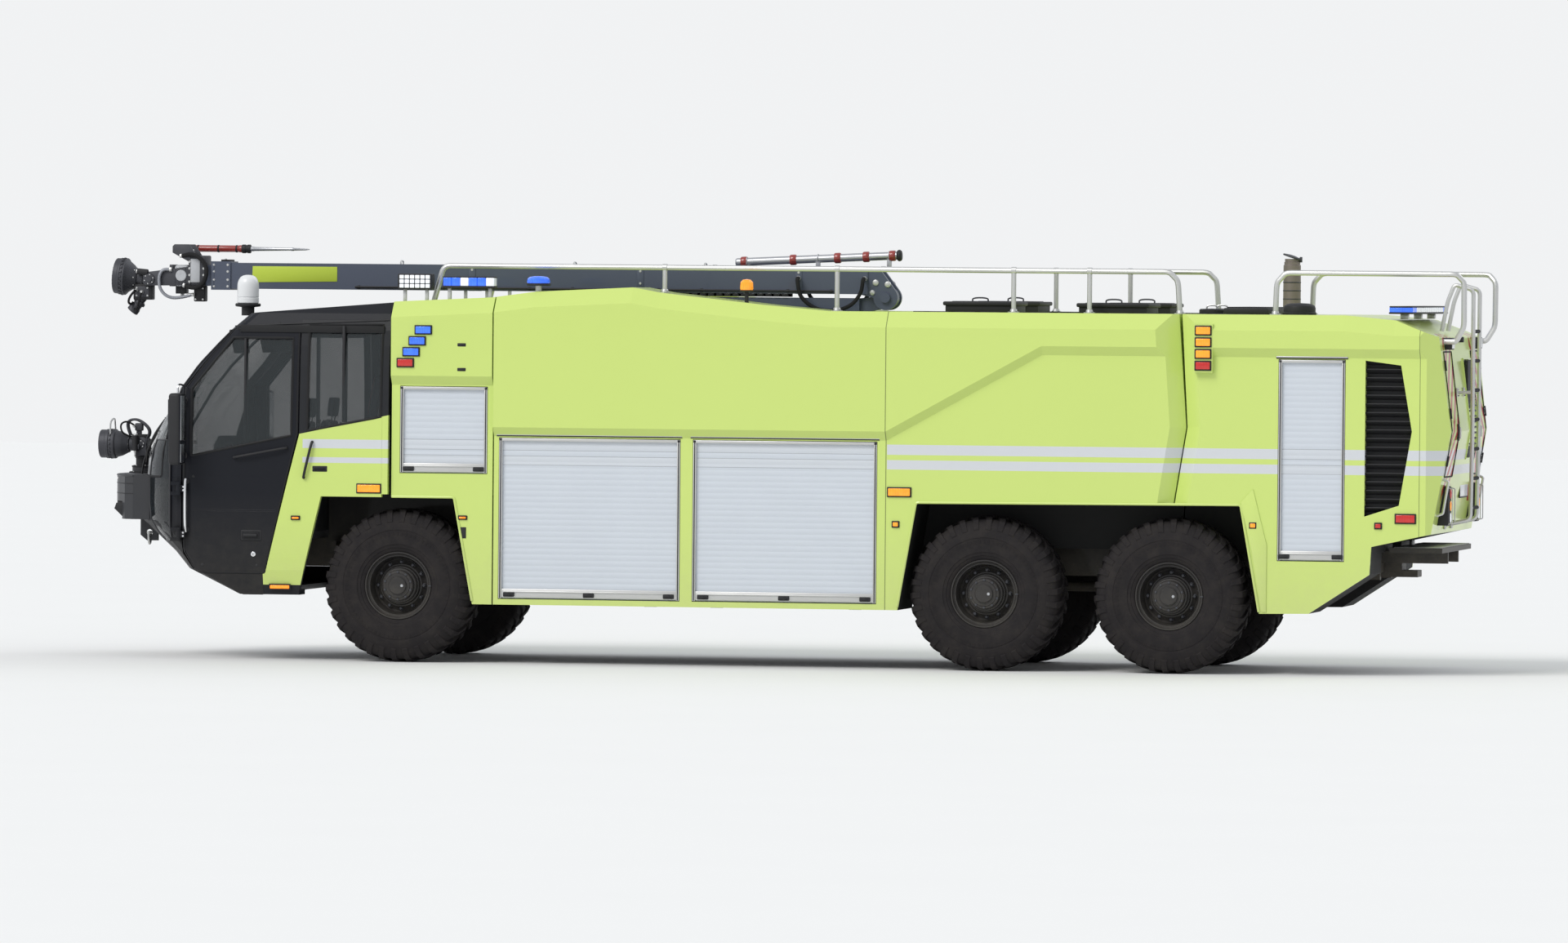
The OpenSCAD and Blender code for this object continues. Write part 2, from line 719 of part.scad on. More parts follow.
module body_rear() {
  place() color(lime) difference() {
    intersection() {
      body_form(concat(rear_stations, [[9500, roof_z - 32, crease_z]]));
      slab(-wide, wide, rear_line);
      // plan outline with the bevelled rear corners
      linear_extrude(3600) polygon([[6800, -wide], [9180, -wide], [9180, -body_half - 1],
        [9500, -body_half + 320], [9500, body_half - 320], [9180, body_half + 1], [9180, wide], [6800, wide]]);
    }
    belly();
    shutter_recess();
    beak_groove();
    both() slab(locker_half - 110, wide, intake_line);
    // engine bay, open below
    box(7380, 8790, -560, 560, 900, 2180);
  }
  // flat pads that carry the upper side lamps
  place() color(lime) both() box(7180, 7345, locker_half - 30, body_half, 2660, 3090);
}

// roller shutter: curtain, bottom bar and latches
module shutters() {
  place() color(silver) both() for (s = shutters_at) {
    box(s[0] + 4, s[1] - 4, s[4] - shutter_in + rest_gap, s[4] - 18, s[2] + 4, s[3] - 4);
    box(s[0] + 6, s[1] - 6, s[4] - 19, s[4] - 4, s[2] + 6, s[2] + 84);
    for (f = [0.08, 0.5, 0.92]) {
      x = s[0] + f * (s[1] - s[0]);
      box(x - 45, x + 45, s[4] - 5, s[4] + 6, s[2] + 25, s[2] + 65);
    }
  }
}

module intake_grilles() {
  place() color([0.10, 0.10, 0.11]) both() intersection() {
    slab(locker_half - 109, wide, intake_line);
    union() {
      slab(locker_half - 109, locker_half - 90, intake_line);
      for (i = [0:17]) translate([8900, locker_half - 95, 1450 + i * 76]) rotate([30, 0, 0])
        box(-260, 260, 0, 80, -4, 4);
    }
  }
}

// lamps

// side lamps: x, z, length, height, distance of the wall from the centre line
amber_lamps = [[-250, 1550, 230, 90, body_half - 18], [4550, 1575, 220, 90, locker_half],
  [4520, 1290, 70, 60, locker_half], [7710, 1320, 70, 60, locker_half],
  for (z = [3030, 2927, 2824]) [7262, z, 150, 88, body_half]];
blue_lamps = [[240, 2970, 160, 85, body_half], [185, 2872, 160, 85, body_half],
  [130, 2774, 160, 85, body_half]];
red_lamps = [[78, 2676, 160, 85, body_half], [7262, 2721, 150, 88, body_half], [9060, 1395, 190, 90, locker_half],
  [8820, 1330, 70, 60, locker_half]];

module lamp_row(rows) {
  both() for (l = rows) box(l[0] - l[2] / 2, l[0] + l[2] / 2, l[4] + rest_gap, l[4] + 24,
    l[1] - l[3] / 2, l[1] + l[3] / 2);
}
module side_lamps_amber() {
  place() color([0.95, 0.55, 0.10]) difference() {
    lamp_row(amber_lamps);
    intersection() {
      cab_form(-rest_gap);
      box(-1000, -100, -wide, wide, 1400, 1700);
    }
  }
}
module side_lamps_blue() { place() color([0.15, 0.35, 0.90]) lamp_row(blue_lamps); }
module side_lamps_red() {
  place() color([0.80, 0.10, 0.08]) {
    lamp_row(red_lamps);
    // tail lamps on the rear face
    both() difference() {
      box(9250, 9400, -1080, -880, 1330, 1680);
      slab(-wide, wide, rear_cover);
    }
  }
}

// roof fittings

module roof_lamps() {
  place() color([0.35, 0.55, 0.85]) {
    // work lamps at the front corners
    both() difference() {
      union() {
        box(-40, 270, -rail_side - 180, -rail_side - 30, 3330, 3470);
        for (x = [0, 200]) box(x, x + 30, -1270, -1240, 3190, 3331);
      }
      under_roof(rest_gap);
    }
    // light bars and beacons
    both() difference() {
      union() {
        box(370, 850, -rail_side - 180, -rail_side - 50, 3345, 3450);
        for (x = [410, 780]) box(x, x + 40, -1285, -1245, 3200, 3346);
      }
      under_roof(rest_gap);
    }
    both() difference() {
      translate([1240, -1290, 3200]) cylinder(h = 180, r = 30);
      under_roof(rest_gap);
    }
    both() translate([1240, -1290, 3378]) cylinder(h = 80, r = 110);
    // rear bar across the roof
    difference() {
      union() {
        box(8860, 9080, -1200, 1200, 3190, 3260);
        for (y = [-900, 0, 900]) box(8930, 9000, y - 40, y + 40, 3000, 3191);
      }
      slab(-wide, wide, rear_cover);
    }
  }
}

module camera_dome() {
  place() color([0.95, 0.95, 0.95]) difference() {
    union() {
      translate([-1560, -700, 2900]) cylinder(h = 270, r = 60);
      translate([-1560, -700, 3165]) cylinder(h = 25, r = 115);
      translate([-1560, -700, 3188]) cylinder(h = 165, r = 98);
      translate([-1560, -700, 3350]) sphere(r = 97);
    }
    cab_form(-rest_gap);
  }
}

module roof_boxes() {
  place() color([0.13, 0.13, 0.14]) difference() {
    union() {
      both() box(4850, 5500, -1020, -320, roof_z - 70, roof_z + 100);
      both() box(6050, 6700, -1020, -320, roof_z - 70, roof_z + 95);
      box(7350, 7750, -900, 500, roof_z - 70, roof_z + 70);
      translate([8000, -700, roof_z - 70]) cylinder(h = 180, r = 150);
    }
    under_roof(rest_gap);
  }
}

module exhaust_stack() {
  place() color([0.30, 0.28, 0.27]) {
    difference() {
      translate([7700, 900, roof_z - 70]) cylinder(h = 575, r = 80);
      under_roof(rest_gap);
    }
    translate([7700, 900, roof_z + 500]) rotate([0, 18, 0]) cylinder(h = 40, r = 88);
  }
}

// side handrails: x of each post
posts = [2360, 3920, 5510, 6190];

module roof_rails() {
  place() color([0.84, 0.83, 0.82]) difference() {
    both() {
      y = -rail_side;
      tube_run([[250, y, 3150], [345, y, rail_top], [6900, y, rail_top], [6980, y, rail_top - 80],
        [7000, y, roof_z - 70]], tube_d / 2);
      for (x = posts) rod([x, y, roof_z - 70], [x, y, rail_top], tube_d / 2);
      tube_run([[7850, y, roof_z - 70], [7860, y, rail_top - 90], [7940, y, rail_top], [9450, y, rail_top],
        [rear_x - tube_d / 2 - 1, y + 40, rail_top - 60], [rear_x - tube_d / 2 - 1, y + 60, 3080],
        [9440, y + 80, 2950]], tube_d / 2);
      rod([8740, y, 3000], [8740, y, rail_top], tube_d / 2);
    }
    under_roof(rest_gap);
    slab(-wide, wide, rear_cover);
  }
}

module rear_ladder() {
  place() color([0.84, 0.83, 0.82]) difference() {
    union() {
      for (y = [-560, -120]) tube_run([[9350, y, 1330], [9520, y, 1380], [9530, y, 2100],
        [9530, y, 3000], [9530, y, rail_top - 140], [9360, y, rail_top - 90]], 19);
      for (i = [0:6]) rod([9526, -560, 1480 + i * 260], [9526, -120, 1480 + i * 260], 15);
      for (y = [-560, -120]) rod([9300, y, 2500], [9530, y, 2500], 14);
    }
    slab(-wide, wide, rear_cover);
  }
}

// boom

module turntable() {
  place() color(boom_grey) {
    translate([slew_x, 0, 2900 + rest_gap]) cylinder(h = 130, r = 480);
    both() difference() {
      slab(130, 165, [[slew_x - 230, 3028], [slew_x - 80, base_z + 95], [slew_x + 80, base_z + 95],
        [slew_x + 230, 3028]]);
    }
    across(slew_x, base_z, -175, 175, pin_r);
  }
}

module lower_boom() {
  place() color(boom_grey) difference() {
    union() {
      slab(-115, 115, [[slew_x - 70, base_z - 90], [slew_x - 70, base_z + 90], [slew_x + 200, 3285],
        [3930, 3285], [3930, 3120], [slew_x + 200, 3100]]);
      slab(-60, 60, [[3900, 3140], [3900, 3280], [4020, 3296], [elbow_x - 20, elbow_z + 95],
        [elbow_x - 20, elbow_z - 95]]);
      across(elbow_x, elbow_z, -60, 60, 100);
      across(elbow_x, elbow_z, -150, 150, pin_r);
    }
    across(slew_x, base_z, -200, 200, pin_r + stub_gap);
  }
}

module upper_boom() {
  place() color(boom_grey) {
    difference() {
      box(boom_tip_x, 4010, -boom_w / 2, boom_w / 2, boom_z, boom_z + boom_h);
      box(boom_tip_x - 1, 1750, -boom_w / 2 + 14, boom_w / 2 - 14, boom_z + 14, boom_z + boom_h - 14);
    }
    // collar round the front end
    difference() {
      box(boom_tip_x - 180, boom_tip_x + 1, -boom_w / 2 - 12, boom_w / 2 + 12, boom_z - 12,
        boom_z + boom_h + 12);
      box(boom_tip_x - 181, boom_tip_x + 2, -boom_w / 2 + 14, boom_w / 2 - 14, boom_z + 14,
        boom_z + boom_h - 14);
    }
    // wear pads that the inner boom slides on
    for (x = [boom_tip_x - 170, 1550]) box(x, x + 150, -80, 80, boom_z + 13,
      boom_z + 24 - pivot_gap);
    // elbow lugs
    both() difference() {
      union() {
        slab(75, 120, [[3900, boom_z + 5], [3900, boom_z + boom_h], [4110, boom_z + boom_h],
          [elbow_x + 80, elbow_z + 78], [elbow_x, elbow_z - 60], [4060, elbow_z]]);
        across(elbow_x, elbow_z, 75, 120, 110);
      }
      across(elbow_x, elbow_z, 70, 125, pin_r + stub_gap);
    }
  }
}

module boom_pipe() {
  place() color([0.78, 0.78, 0.80]) {
    difference() {
      union() {
        rod([2800, 60, boom_z + boom_h + 45], [4250, 60, boom_z + boom_h + 115], 38);
        for (x = [2850, 3500, 4150]) box(x, x + 40, 40, 80, boom_z + boom_h - 20,
          boom_z + boom_h + 20 + (x - 2800) * 70 / 1450);
      }
      box(2000, 4300, -200, 200, boom_z, boom_z + boom_h + rest_gap);
    }
  }
}

module inner_boom() {
  place() color([0.45, 0.47, 0.52]) {
    box(boom_tip_x - 240, 1680, -105, 105, boom_z + 24, boom_z + boom_h - 24);
  }
}

module nozzle_head() {
  place() color([0.20, 0.20, 0.23]) {
    box(head_x - 160, head_x - rest_gap, -120, 120, 3340, 3620);
    box(head_x - 120, head_x - 20, -60, 60, 3200, 3345);
    // actuator in front of the block
    box(head_x - 340, head_x - 155, -105, 105, 3335, 3535);
    both() slab(95, 118, [[head_x - 310, lance_z - 42], [head_x - 310, lance_z + 38], [head_x - 150, lance_z + 38],
      [head_x - 50, 3560], [head_x - 159, 3560]]);
    // fork that holds the nozzle
    both() slab(80, 106, [[nozzle_px - 60, nozzle_pz - 60], [nozzle_px - 60, 3460],
      [head_x - 150, 3520], [head_x - 150, 3345], [nozzle_px + 60, nozzle_pz - 60]]);
  }
}

module boom_nozzle() {
  place() color([0.17, 0.17, 0.19]) {
    across(nozzle_px, nozzle_pz, -80 + pivot_gap, 80 - pivot_gap, 60);
    translate([nozzle_px, 0, nozzle_pz]) rotate([0, -90 + 5, 0]) {
      cylinder(h = 200, r = 66);
      translate([0, 0, 130]) cylinder(h = 100, r1 = 80, r2 = 150);
      translate([0, 0, 229]) cylinder(h = 106, r1 = 168, r2 = 160);
    }
    // small nozzle and foam tube hung under the bell
    translate([nozzle_px - 60, 0, nozzle_pz - 150]) rotate([0, -90 - 50, 0]) cylinder(h = 190, r = 55);
    box(nozzle_px - 160, nozzle_px + 20, -60, 60, nozzle_pz - 190, nozzle_pz - 40);
  }
}

module piercing_lance() {
  place() color([0.58, 0.18, 0.16]) {
    across(lance_x, lance_z, 118 + pivot_gap, lance_y, 24);
    translate([lance_x, lance_y, lance_z]) rotate([0, 90, 0]) {
      cylinder(h = 560, r = 32);
      translate([0, 0, 540]) cylinder(h = 70, r = 40);
      translate([0, 0, 600]) cylinder(h = 560, r1 = 22, r2 = 8);
    }
  }
}

cab_nose();
cab_roof();
cab_sides();
cab_rear_wall();
cab_floor();
windscreen();
cab_side_windows();
door_left();
door_right();
door_glass_left();
door_glass_right();
dashboard();
seats();
bumper();
headlamps();
turret_yoke();
turret_nozzle();
tyre_front_left();
tyre_front_right();
tyre_mid_left();
tyre_mid_right();
tyre_rear_left();
tyre_rear_right();
rim_front_left();
rim_front_right();
rim_mid_left();
rim_mid_right();
rim_rear_left();
rim_rear_right();
knuckle_left();
knuckle_right();
front_axle();
rear_axles();
springs();
chassis_frame();
engine_block();
body_front();
body_tank();
body_rear();
shutters();
intake_grilles();
side_lamps_amber();
side_lamps_blue();
side_lamps_red();
roof_lamps();
camera_dome();
roof_boxes();
exhaust_stack();
roof_rails();
rear_ladder();
turntable();
lower_boom();
upper_boom();
boom_pipe();
inner_boom();
nozzle_head();
boom_nozzle();
piercing_lance();
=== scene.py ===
from math import atan2, cos, exp, hypot, pi, radians, sin, sqrt

import bmesh
import bpy
from mathutils import Matrix, Vector


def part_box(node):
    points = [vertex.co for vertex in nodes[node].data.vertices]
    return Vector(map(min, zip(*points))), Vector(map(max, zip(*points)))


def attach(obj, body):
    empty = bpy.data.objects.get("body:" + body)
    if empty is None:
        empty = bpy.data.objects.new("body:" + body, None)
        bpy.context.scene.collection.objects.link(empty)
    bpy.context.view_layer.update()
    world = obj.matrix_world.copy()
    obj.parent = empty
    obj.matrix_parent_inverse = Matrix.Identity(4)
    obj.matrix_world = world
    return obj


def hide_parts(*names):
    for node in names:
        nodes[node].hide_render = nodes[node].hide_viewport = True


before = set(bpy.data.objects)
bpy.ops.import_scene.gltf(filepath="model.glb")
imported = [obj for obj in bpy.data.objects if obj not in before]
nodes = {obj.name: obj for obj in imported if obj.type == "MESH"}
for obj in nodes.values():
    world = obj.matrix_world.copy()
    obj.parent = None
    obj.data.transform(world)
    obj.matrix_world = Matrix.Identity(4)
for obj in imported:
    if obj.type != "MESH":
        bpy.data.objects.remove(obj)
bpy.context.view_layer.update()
scene = bpy.context.scene

axleLow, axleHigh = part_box("rim_front_left")
axleX = (axleLow.x + axleHigh.x) / 2  # everything along the truck is measured from the front axle
hubZ = (axleLow.z + axleHigh.z) / 2
print("frame loaded, front axle at", round(axleX, 3))


class Wire:
    # a socket with arithmetic: an expression on wires adds its Math nodes
    def __init__(self, finish, socket):
        self.finish, self.socket = finish, socket

    def calc(self, operation, first, second=None):
        return self.finish.node("ShaderNodeMath", {"operation": operation},
            {0: first} if second is None else {0: first, 1: second})

    def __add__(self, other): return self.calc("ADD", self, other)
    def __radd__(self, other): return self.calc("ADD", other, self)
    def __sub__(self, other): return self.calc("SUBTRACT", self, other)
    def __rsub__(self, other): return self.calc("SUBTRACT", other, self)
    def __mul__(self, other): return self.calc("MULTIPLY", self, other)
    def __rmul__(self, other): return self.calc("MULTIPLY", other, self)
    def __gt__(self, other): return self.calc("GREATER_THAN", self, other)
    def __lt__(self, other): return self.calc("LESS_THAN", self, other)
    def __abs__(self): return self.calc("ABSOLUTE", self)


class Finish:
    def __init__(self, name):
        self.material = bpy.data.materials.new(name)
        self.material.use_nodes = True
        self.tree = self.material.node_tree
        self.tree.nodes.clear()
        self.place = self.node("ShaderNodeTexCoord", out="Object")

    def node(self, kind, settings=None, inputs=None, out=0):
        made = self.tree.nodes.new(kind)
        for key, value in (settings or {}).items():
            if key == "stops":
                ramp = made.color_ramp
                while len(ramp.elements) < len(value):
                    ramp.elements.new(0.5)
                for element, (at, colour) in zip(ramp.elements, value):
                    element.position, element.color = at, (*colour, 1)
            else:
                setattr(made, key, value)
        for key, value in (inputs or {}).items():
            if isinstance(value, Wire):
                self.tree.links.new(value.socket, made.inputs[key])
            elif isinstance(value, (tuple, list)) and len(value) == 3 and made.inputs[key].type == "RGBA":
                made.inputs[key].default_value = (*value, 1)
            else:
                made.inputs[key].default_value = value
        return Wire(self, made.outputs[out]) if len(made.outputs) else None

    def axes(self):
        made = self.tree.nodes.new("ShaderNodeSeparateXYZ")
        self.tree.links.new(self.place.socket, made.inputs[0])
        return [Wire(self, made.outputs[i]) for i in range(3)]

    def noise(self, scale, detail=3, stretch=None, rough=0.5):
        where = self.place
        if stretch:
            where = self.node("ShaderNodeMapping", {}, {"Vector": self.place, "Scale": stretch})
        return self.node("ShaderNodeTexNoise", {}, {"Vector": where, "Scale": scale, "Detail": detail,
            "Roughness": rough})

    def band(self, value, low, high, soft=0):
        if soft:
            return self.node("ShaderNodeMapRange", {"clamp": True}, {0: value, 1: low, 2: high, 3: 0, 4: 1})
        return (value > low) * (value < high)

    def mix(self, amount, first, second):
        return self.node("ShaderNodeMix", {"data_type": "RGBA"}, {0: amount, 6: first, 7: second}, out=2)

    def larger(self, first, second):
        return self.node("ShaderNodeMath", {"operation": "MAXIMUM"}, {0: first, 1: second})

    def wave(self, value):
        return self.node("ShaderNodeMath", {"operation": "SINE"}, {0: value})

    def bump(self, height, strength, distance):
        return self.node("ShaderNodeBump", {}, {"Height": height, "Strength": strength, "Distance": distance})

    def close(self, **values):
        names = {"colour": "Base Color", "rough": "Roughness", "metal": "Metallic", "coat": "Coat Weight",
            "coatRough": "Coat Roughness", "normal": "Normal", "alpha": "Alpha", "glow": "Emission Color",
            "glowAmount": "Emission Strength", "clear": "Transmission Weight", "ior": "IOR", "sheen": "Sheen Weight",
            "specular": "Specular IOR Level"}
        shader = self.node("ShaderNodeBsdfPrincipled", {}, {names[k]: v for k, v in values.items()})
        self.node("ShaderNodeOutputMaterial", {}, {"Surface": shader})
        return self.material


# tones and heights that several finishes share
limeTone, limeShade = (0.582, 0.718, 0.188), (0.53, 0.662, 0.164)
bandTone, roadDust = (0.6, 0.62, 0.65), (0.42, 0.37, 0.27)
bodyBands, quarterBands = ((1.905, 1.995), (1.775, 1.858)), ((1.905, 1.985), (1.775, 1.825))


def lacquer(f, z, dustTop, dustFoot, dustAmount):
    # slow changes of tone, orange peel, and road dust that fades with height
    slow, fine, speck = f.noise(0.55, 2), f.noise(46, 2), f.noise(9, 6, rough=0.7)
    low = f.node("ShaderNodeMapRange", {"clamp": True}, {0: z, 1: dustTop, 2: dustFoot, 3: 0, 4: 1})
    return slow, fine, low * speck * dustAmount


def twoBands(f, z, rows):
    return f.band(z, *rows[0]) + f.band(z, *rows[1])


def paintFinish(name, colour, shade, rough=0.22, coat=0.7, dust=0.5, streaks=0, shine=0.5):
    # lacquered panel, with rain streaks where asked for
    f = Finish(name)
    slow, fine, grime = lacquer(f, f.axes()[2], 1.5, 0.35, dust)
    streak = f.noise(2.2, 4, (6, 6, 0.35))
    toned = f.mix(slow * 0.5, colour, shade)
    toned = f.mix(f.band(streak, 0.58, 0.85, 1) * streaks, toned, (0.5, 0.5, 0.38))
    toned = f.mix(grime, toned, roadDust)
    return f.close(colour=toned, rough=rough + grime * 0.5 + fine * 0.05, coat=coat, coatRough=0.06, specular=shine,
        normal=f.bump(fine, 0.04, 0.002))


def bodyFinish():
    # lime lacquer with two reflective bands, dark underbody, seams, and chevrons on the rear
    f = Finish("limeBody")
    x, y, z = f.axes()
    along, out = x - axleX, abs(y)
    slow, fine, grime = lacquer(f, z, 1.35, 0.45, 0.35)
    bands = twoBands(f, z, bodyBands) * (along > 4.437)
    quarter = twoBands(f, z, quarterBands) * f.band(along, -0.86, -0.125) * (out > 1.4)
    under = (out < 1.425) * (z < 1.503) * (along < 9.18)
    seam = f.band(along, 4.424, 4.432) + f.band(along, 9.176, 9.182) * f.band(z, 1.2, 3.1)
    slant = f.node("ShaderNodeMath", {"operation": "PINGPONG"}, {0: z + (out - 0.62) * 0.9, 1: 0.11})
    chevron = (along > 9.25) * f.band(out, 0.62, 1.18) * f.band(z, 1.52, 3.02) * (slant > 0.055)
    tone = f.mix(slow * 0.5, limeTone, limeShade)
    tone = f.mix(bands + quarter, tone, bandTone)
    tone = f.mix(chevron, tone, (0.42, 0.018, 0.014))
    tone = f.mix(grime, tone, roadDust)
    tone = f.mix(seam * (out > 1) * 0.8, tone, (0.1, 0.13, 0.03))
    tone = f.mix(under, tone, (0.012, 0.012, 0.012))
    return f.close(colour=tone, rough=0.27 + grime * 0.5 + fine * 0.05 + bands * 0.12 + under * 0.4,
        coat=0.4 - under * 0.4, coatRough=0.08, specular=0.4, normal=f.bump(fine, 0.04, 0.002))


def cabQuarterFinish():
    # lime with the same bands below a sloping edge, black above it
    f = Finish("cabQuarter")
    x, y, z = f.axes()
    along, out = x - axleX, abs(y)
    slow, fine, grime = lacquer(f, z, 1.35, 0.45, 0.35)
    bands = twoBands(f, z, quarterBands) * (along > -0.86)
    dark = f.larger((z - along * 0.215) > 2.222, out < 1.42)
    tone = f.mix(slow * 0.5, limeTone, limeShade)
    tone = f.mix(bands, tone, bandTone)
    tone = f.mix(grime, tone, roadDust)
    tone = f.mix(dark, tone, (0.01, 0.011, 0.014))
    return f.close(colour=tone, rough=0.27 + grime * 0.5 + fine * 0.05 + bands * 0.12 + dark * 0.25,
        coat=0.35 - dark * 0.33, coatRough=0.08, specular=0.3, normal=f.bump(fine, 0.04, 0.002))


def metalFinish(name, colour, dark, rough=0.35, metal=1, grain=(1, 1, 40)):
    # brushed or cast metal, the grain stretched along one axis
    f = Finish(name)
    brush = f.noise(30, 4, grain)
    cloud = f.noise(3, 3)
    return f.close(colour=f.mix(cloud * 0.6 + brush * 0.25, colour, dark), metal=metal,
        rough=rough + brush * 0.18 + cloud * 0.06, normal=f.bump(brush, 0.06, 0.001))


def shutterFinish():
    # anodised slats with the bands across them
    f = Finish("shutterAluminium")
    z = f.axes()[2]
    brush, cloud = f.noise(30, 4, (0.4, 30, 30)), f.noise(3, 3)
    edge = twoBands(f, z, ((1.903, 1.909), (1.991, 1.997))) + twoBands(f, z, ((1.773, 1.779), (1.852, 1.858)))
    tone = f.mix(cloud * 0.6 + brush * 0.25, (0.6, 0.64, 0.695), (0.545, 0.58, 0.635))
    tone = f.mix(twoBands(f, z, bodyBands) * 0.35, tone, bandTone)
    tone = f.mix(edge * 0.5, tone, (0.2, 0.21, 0.23))
    return f.close(colour=tone, metal=0.15, rough=0.42 + brush * 0.18 + cloud * 0.06,
        normal=f.bump(brush, 0.05, 0.001))


def plasticFinish(name, colour, dark, rough=0.5, grain=140, depth=0.12, coat=0):
    # moulded surface with a pebbled grain
    f = Finish(name)
    pebble = f.noise(grain, 3)
    cloud = f.noise(2.6, 3)
    return f.close(colour=f.mix(cloud * 0.7, colour, dark), rough=rough + pebble * 0.14 - 0.05, coat=coat,
        specular=0.3, normal=f.bump(pebble, depth, 0.0015))


def rubberFinish(name, colour, dust, dirt=0.4):
    # matt rubber, dusty in patches
    f = Finish(name)
    grain = f.noise(90, 5)
    patch = f.noise(7, 5, rough=0.65)
    return f.close(colour=f.mix(f.band(patch, 0.42, 0.75, 1) * dirt, colour, dust), rough=0.72 + patch * 0.2,
        specular=0.15, normal=f.bump(grain, 0.18, 0.002))


def lampFinish(name, colour, bright, glow):
    # moulded lens with upright flutes
    f = Finish(name)
    x, y, z = f.axes()
    flute = f.wave((x + y) * 420)
    spot = f.noise(16, 2)
    tone = f.mix(spot * 0.7 + flute * 0.12, colour, bright)
    return f.close(colour=tone, rough=0.14 + spot * 0.08, coat=0.6, glow=tone, glowAmount=glow,
        normal=f.bump(flute, 0.25, 0.002))


def glassFinish(name, colour, edge, alpha=0.45):
    # tinted pane with faint smears
    f = Finish(name)
    smear = f.noise(2.4, 4, (1, 1, 0.4))
    return f.close(colour=f.mix(smear * 0.5, colour, edge), rough=0.02 + smear * 0.03, coat=1,
        alpha=alpha + smear * 0.12, normal=f.bump(f.noise(1.2, 1), 0.01, 0.002))


limeBody = bodyFinish()
cabQuarter = cabQuarterFinish()
limePaint = paintFinish("limePaint", limeTone, limeShade, 0.26, 0.45, 0.5, 0.1)
blackPaint = paintFinish("blackPaint", (0.009, 0.01, 0.014), (0.013, 0.014, 0.019), 0.46, 0.04, 0.12, 0, 0.15)
boomPaint = paintFinish("boomPaint", (0.058, 0.072, 0.11), (0.076, 0.09, 0.13), 0.4, 0.2, 0)
chassisPaint = paintFinish("chassisPaint", (0.016, 0.016, 0.018), (0.03, 0.029, 0.028), 0.5, 0.1, 0.45, 0, 0.25)
bumperPaint = plasticFinish("bumperPlastic", (0.035, 0.036, 0.04), (0.05, 0.05, 0.054), 0.42)
darkPlastic = plasticFinish("darkPlastic", (0.018, 0.018, 0.02), (0.03, 0.03, 0.032), 0.55)
softBlack = plasticFinish("sealRubber", (0.012, 0.012, 0.013), (0.02, 0.02, 0.021), 0.68, 220, 0.2)
interior = plasticFinish("interiorTrim", (0.045, 0.046, 0.05), (0.07, 0.07, 0.075), 0.62)
whitePlastic = plasticFinish("whitePlastic", (0.78, 0.79, 0.8), (0.68, 0.69, 0.7), 0.3, 60, 0.04, 0.4)
shutterMetal = shutterFinish()
railMetal = metalFinish("railSteel", (0.66, 0.66, 0.65), (0.5, 0.5, 0.49), 0.3, 0.8)
pipeMetal = metalFinish("pipeSteel", (0.55, 0.56, 0.58), (0.4, 0.4, 0.42), 0.26, 0.9)
turretMetal = metalFinish("turretMetal", (0.045, 0.047, 0.055), (0.085, 0.085, 0.095), 0.42, 0.5)
exhaustMetal = metalFinish("exhaustSteel", (0.2, 0.17, 0.15), (0.33, 0.29, 0.26), 0.48, 0.8)
engineIron = metalFinish("engineIron", (0.12, 0.12, 0.13), (0.2, 0.19, 0.18), 0.6, 0.6)
lanceRed = paintFinish("lanceRed", (0.3, 0.03, 0.022), (0.22, 0.022, 0.018), 0.3, 0.5, 0)
tyreRubber = rubberFinish("tyreRubber", (0.019, 0.017, 0.018), (0.052, 0.045, 0.04))
rimPaint = paintFinish("rimPaint", (0.012, 0.012, 0.016), (0.02, 0.019, 0.021), 0.36, 0.15, 0.16, 0, 0.25)
windowGlass = glassFinish("windowGlass", (0.01, 0.016, 0.018), (0.022, 0.032, 0.034), 0.42)
seatCloth = plasticFinish("seatCloth", (0.03, 0.032, 0.04), (0.055, 0.057, 0.068), 0.85, 420, 0.4)
lensAmber = lampFinish("lensAmber", (0.8, 0.22, 0.005), (1, 0.42, 0.02), 0.5)
lensBlue = lampFinish("lensBlue", (0.015, 0.08, 0.7), (0.06, 0.24, 1), 0.55)
lensRed = lampFinish("lensRed", (0.4, 0.008, 0.007), (0.58, 0.02, 0.014), 0.25)
lensClear = lampFinish("lensClear", (0.72, 0.75, 0.8), (0.9, 0.92, 0.95), 0.3)

# finishes of the CAD parts; the others are dark plastic
partFinishes = [(blackPaint, "cab_nose cab_roof door_left door_right"), (cabQuarter, "cab_sides cab_rear_wall"),
    (limeBody, "body_front body_tank body_rear"), (bumperPaint, "bumper"), (interior, "cab_floor dashboard"),
    (windowGlass, "windscreen cab_side_windows door_glass_left door_glass_right"), (seatCloth, "seats"),
    (chassisPaint, "knuckle_left knuckle_right front_axle rear_axles springs chassis_frame"),
    (boomPaint, "turntable lower_boom upper_boom inner_boom"), (pipeMetal, "boom_pipe"),
    (lanceRed, "piercing_lance"), (turretMetal, "turret_yoke turret_nozzle nozzle_head boom_nozzle"),
    (railMetal, "roof_rails rear_ladder"), (shutterMetal, "shutters"), (engineIron, "engine_block"),
    (exhaustMetal, "exhaust_stack"), (lensAmber, "side_lamps_amber"), (lensBlue, "side_lamps_blue roof_lamps"),
    (lensRed, "side_lamps_red"), (lensClear, "headlamps"), (whitePlastic, "camera_dome"),
    (darkPlastic, "intake_grilles roof_boxes")]
finishOf = {part: finish for finish, parts in partFinishes for part in parts.split()}
wheelFinishes = {"tyre": tyreRubber, "rim": rimPaint}
for name, thing in nodes.items():
    finish = wheelFinishes.get(name.split("_")[0], finishOf.get(name, darkPlastic))
    thing.data.materials.clear()
    thing.data.materials.append(finish)
print("finishes on", len(nodes), "parts")

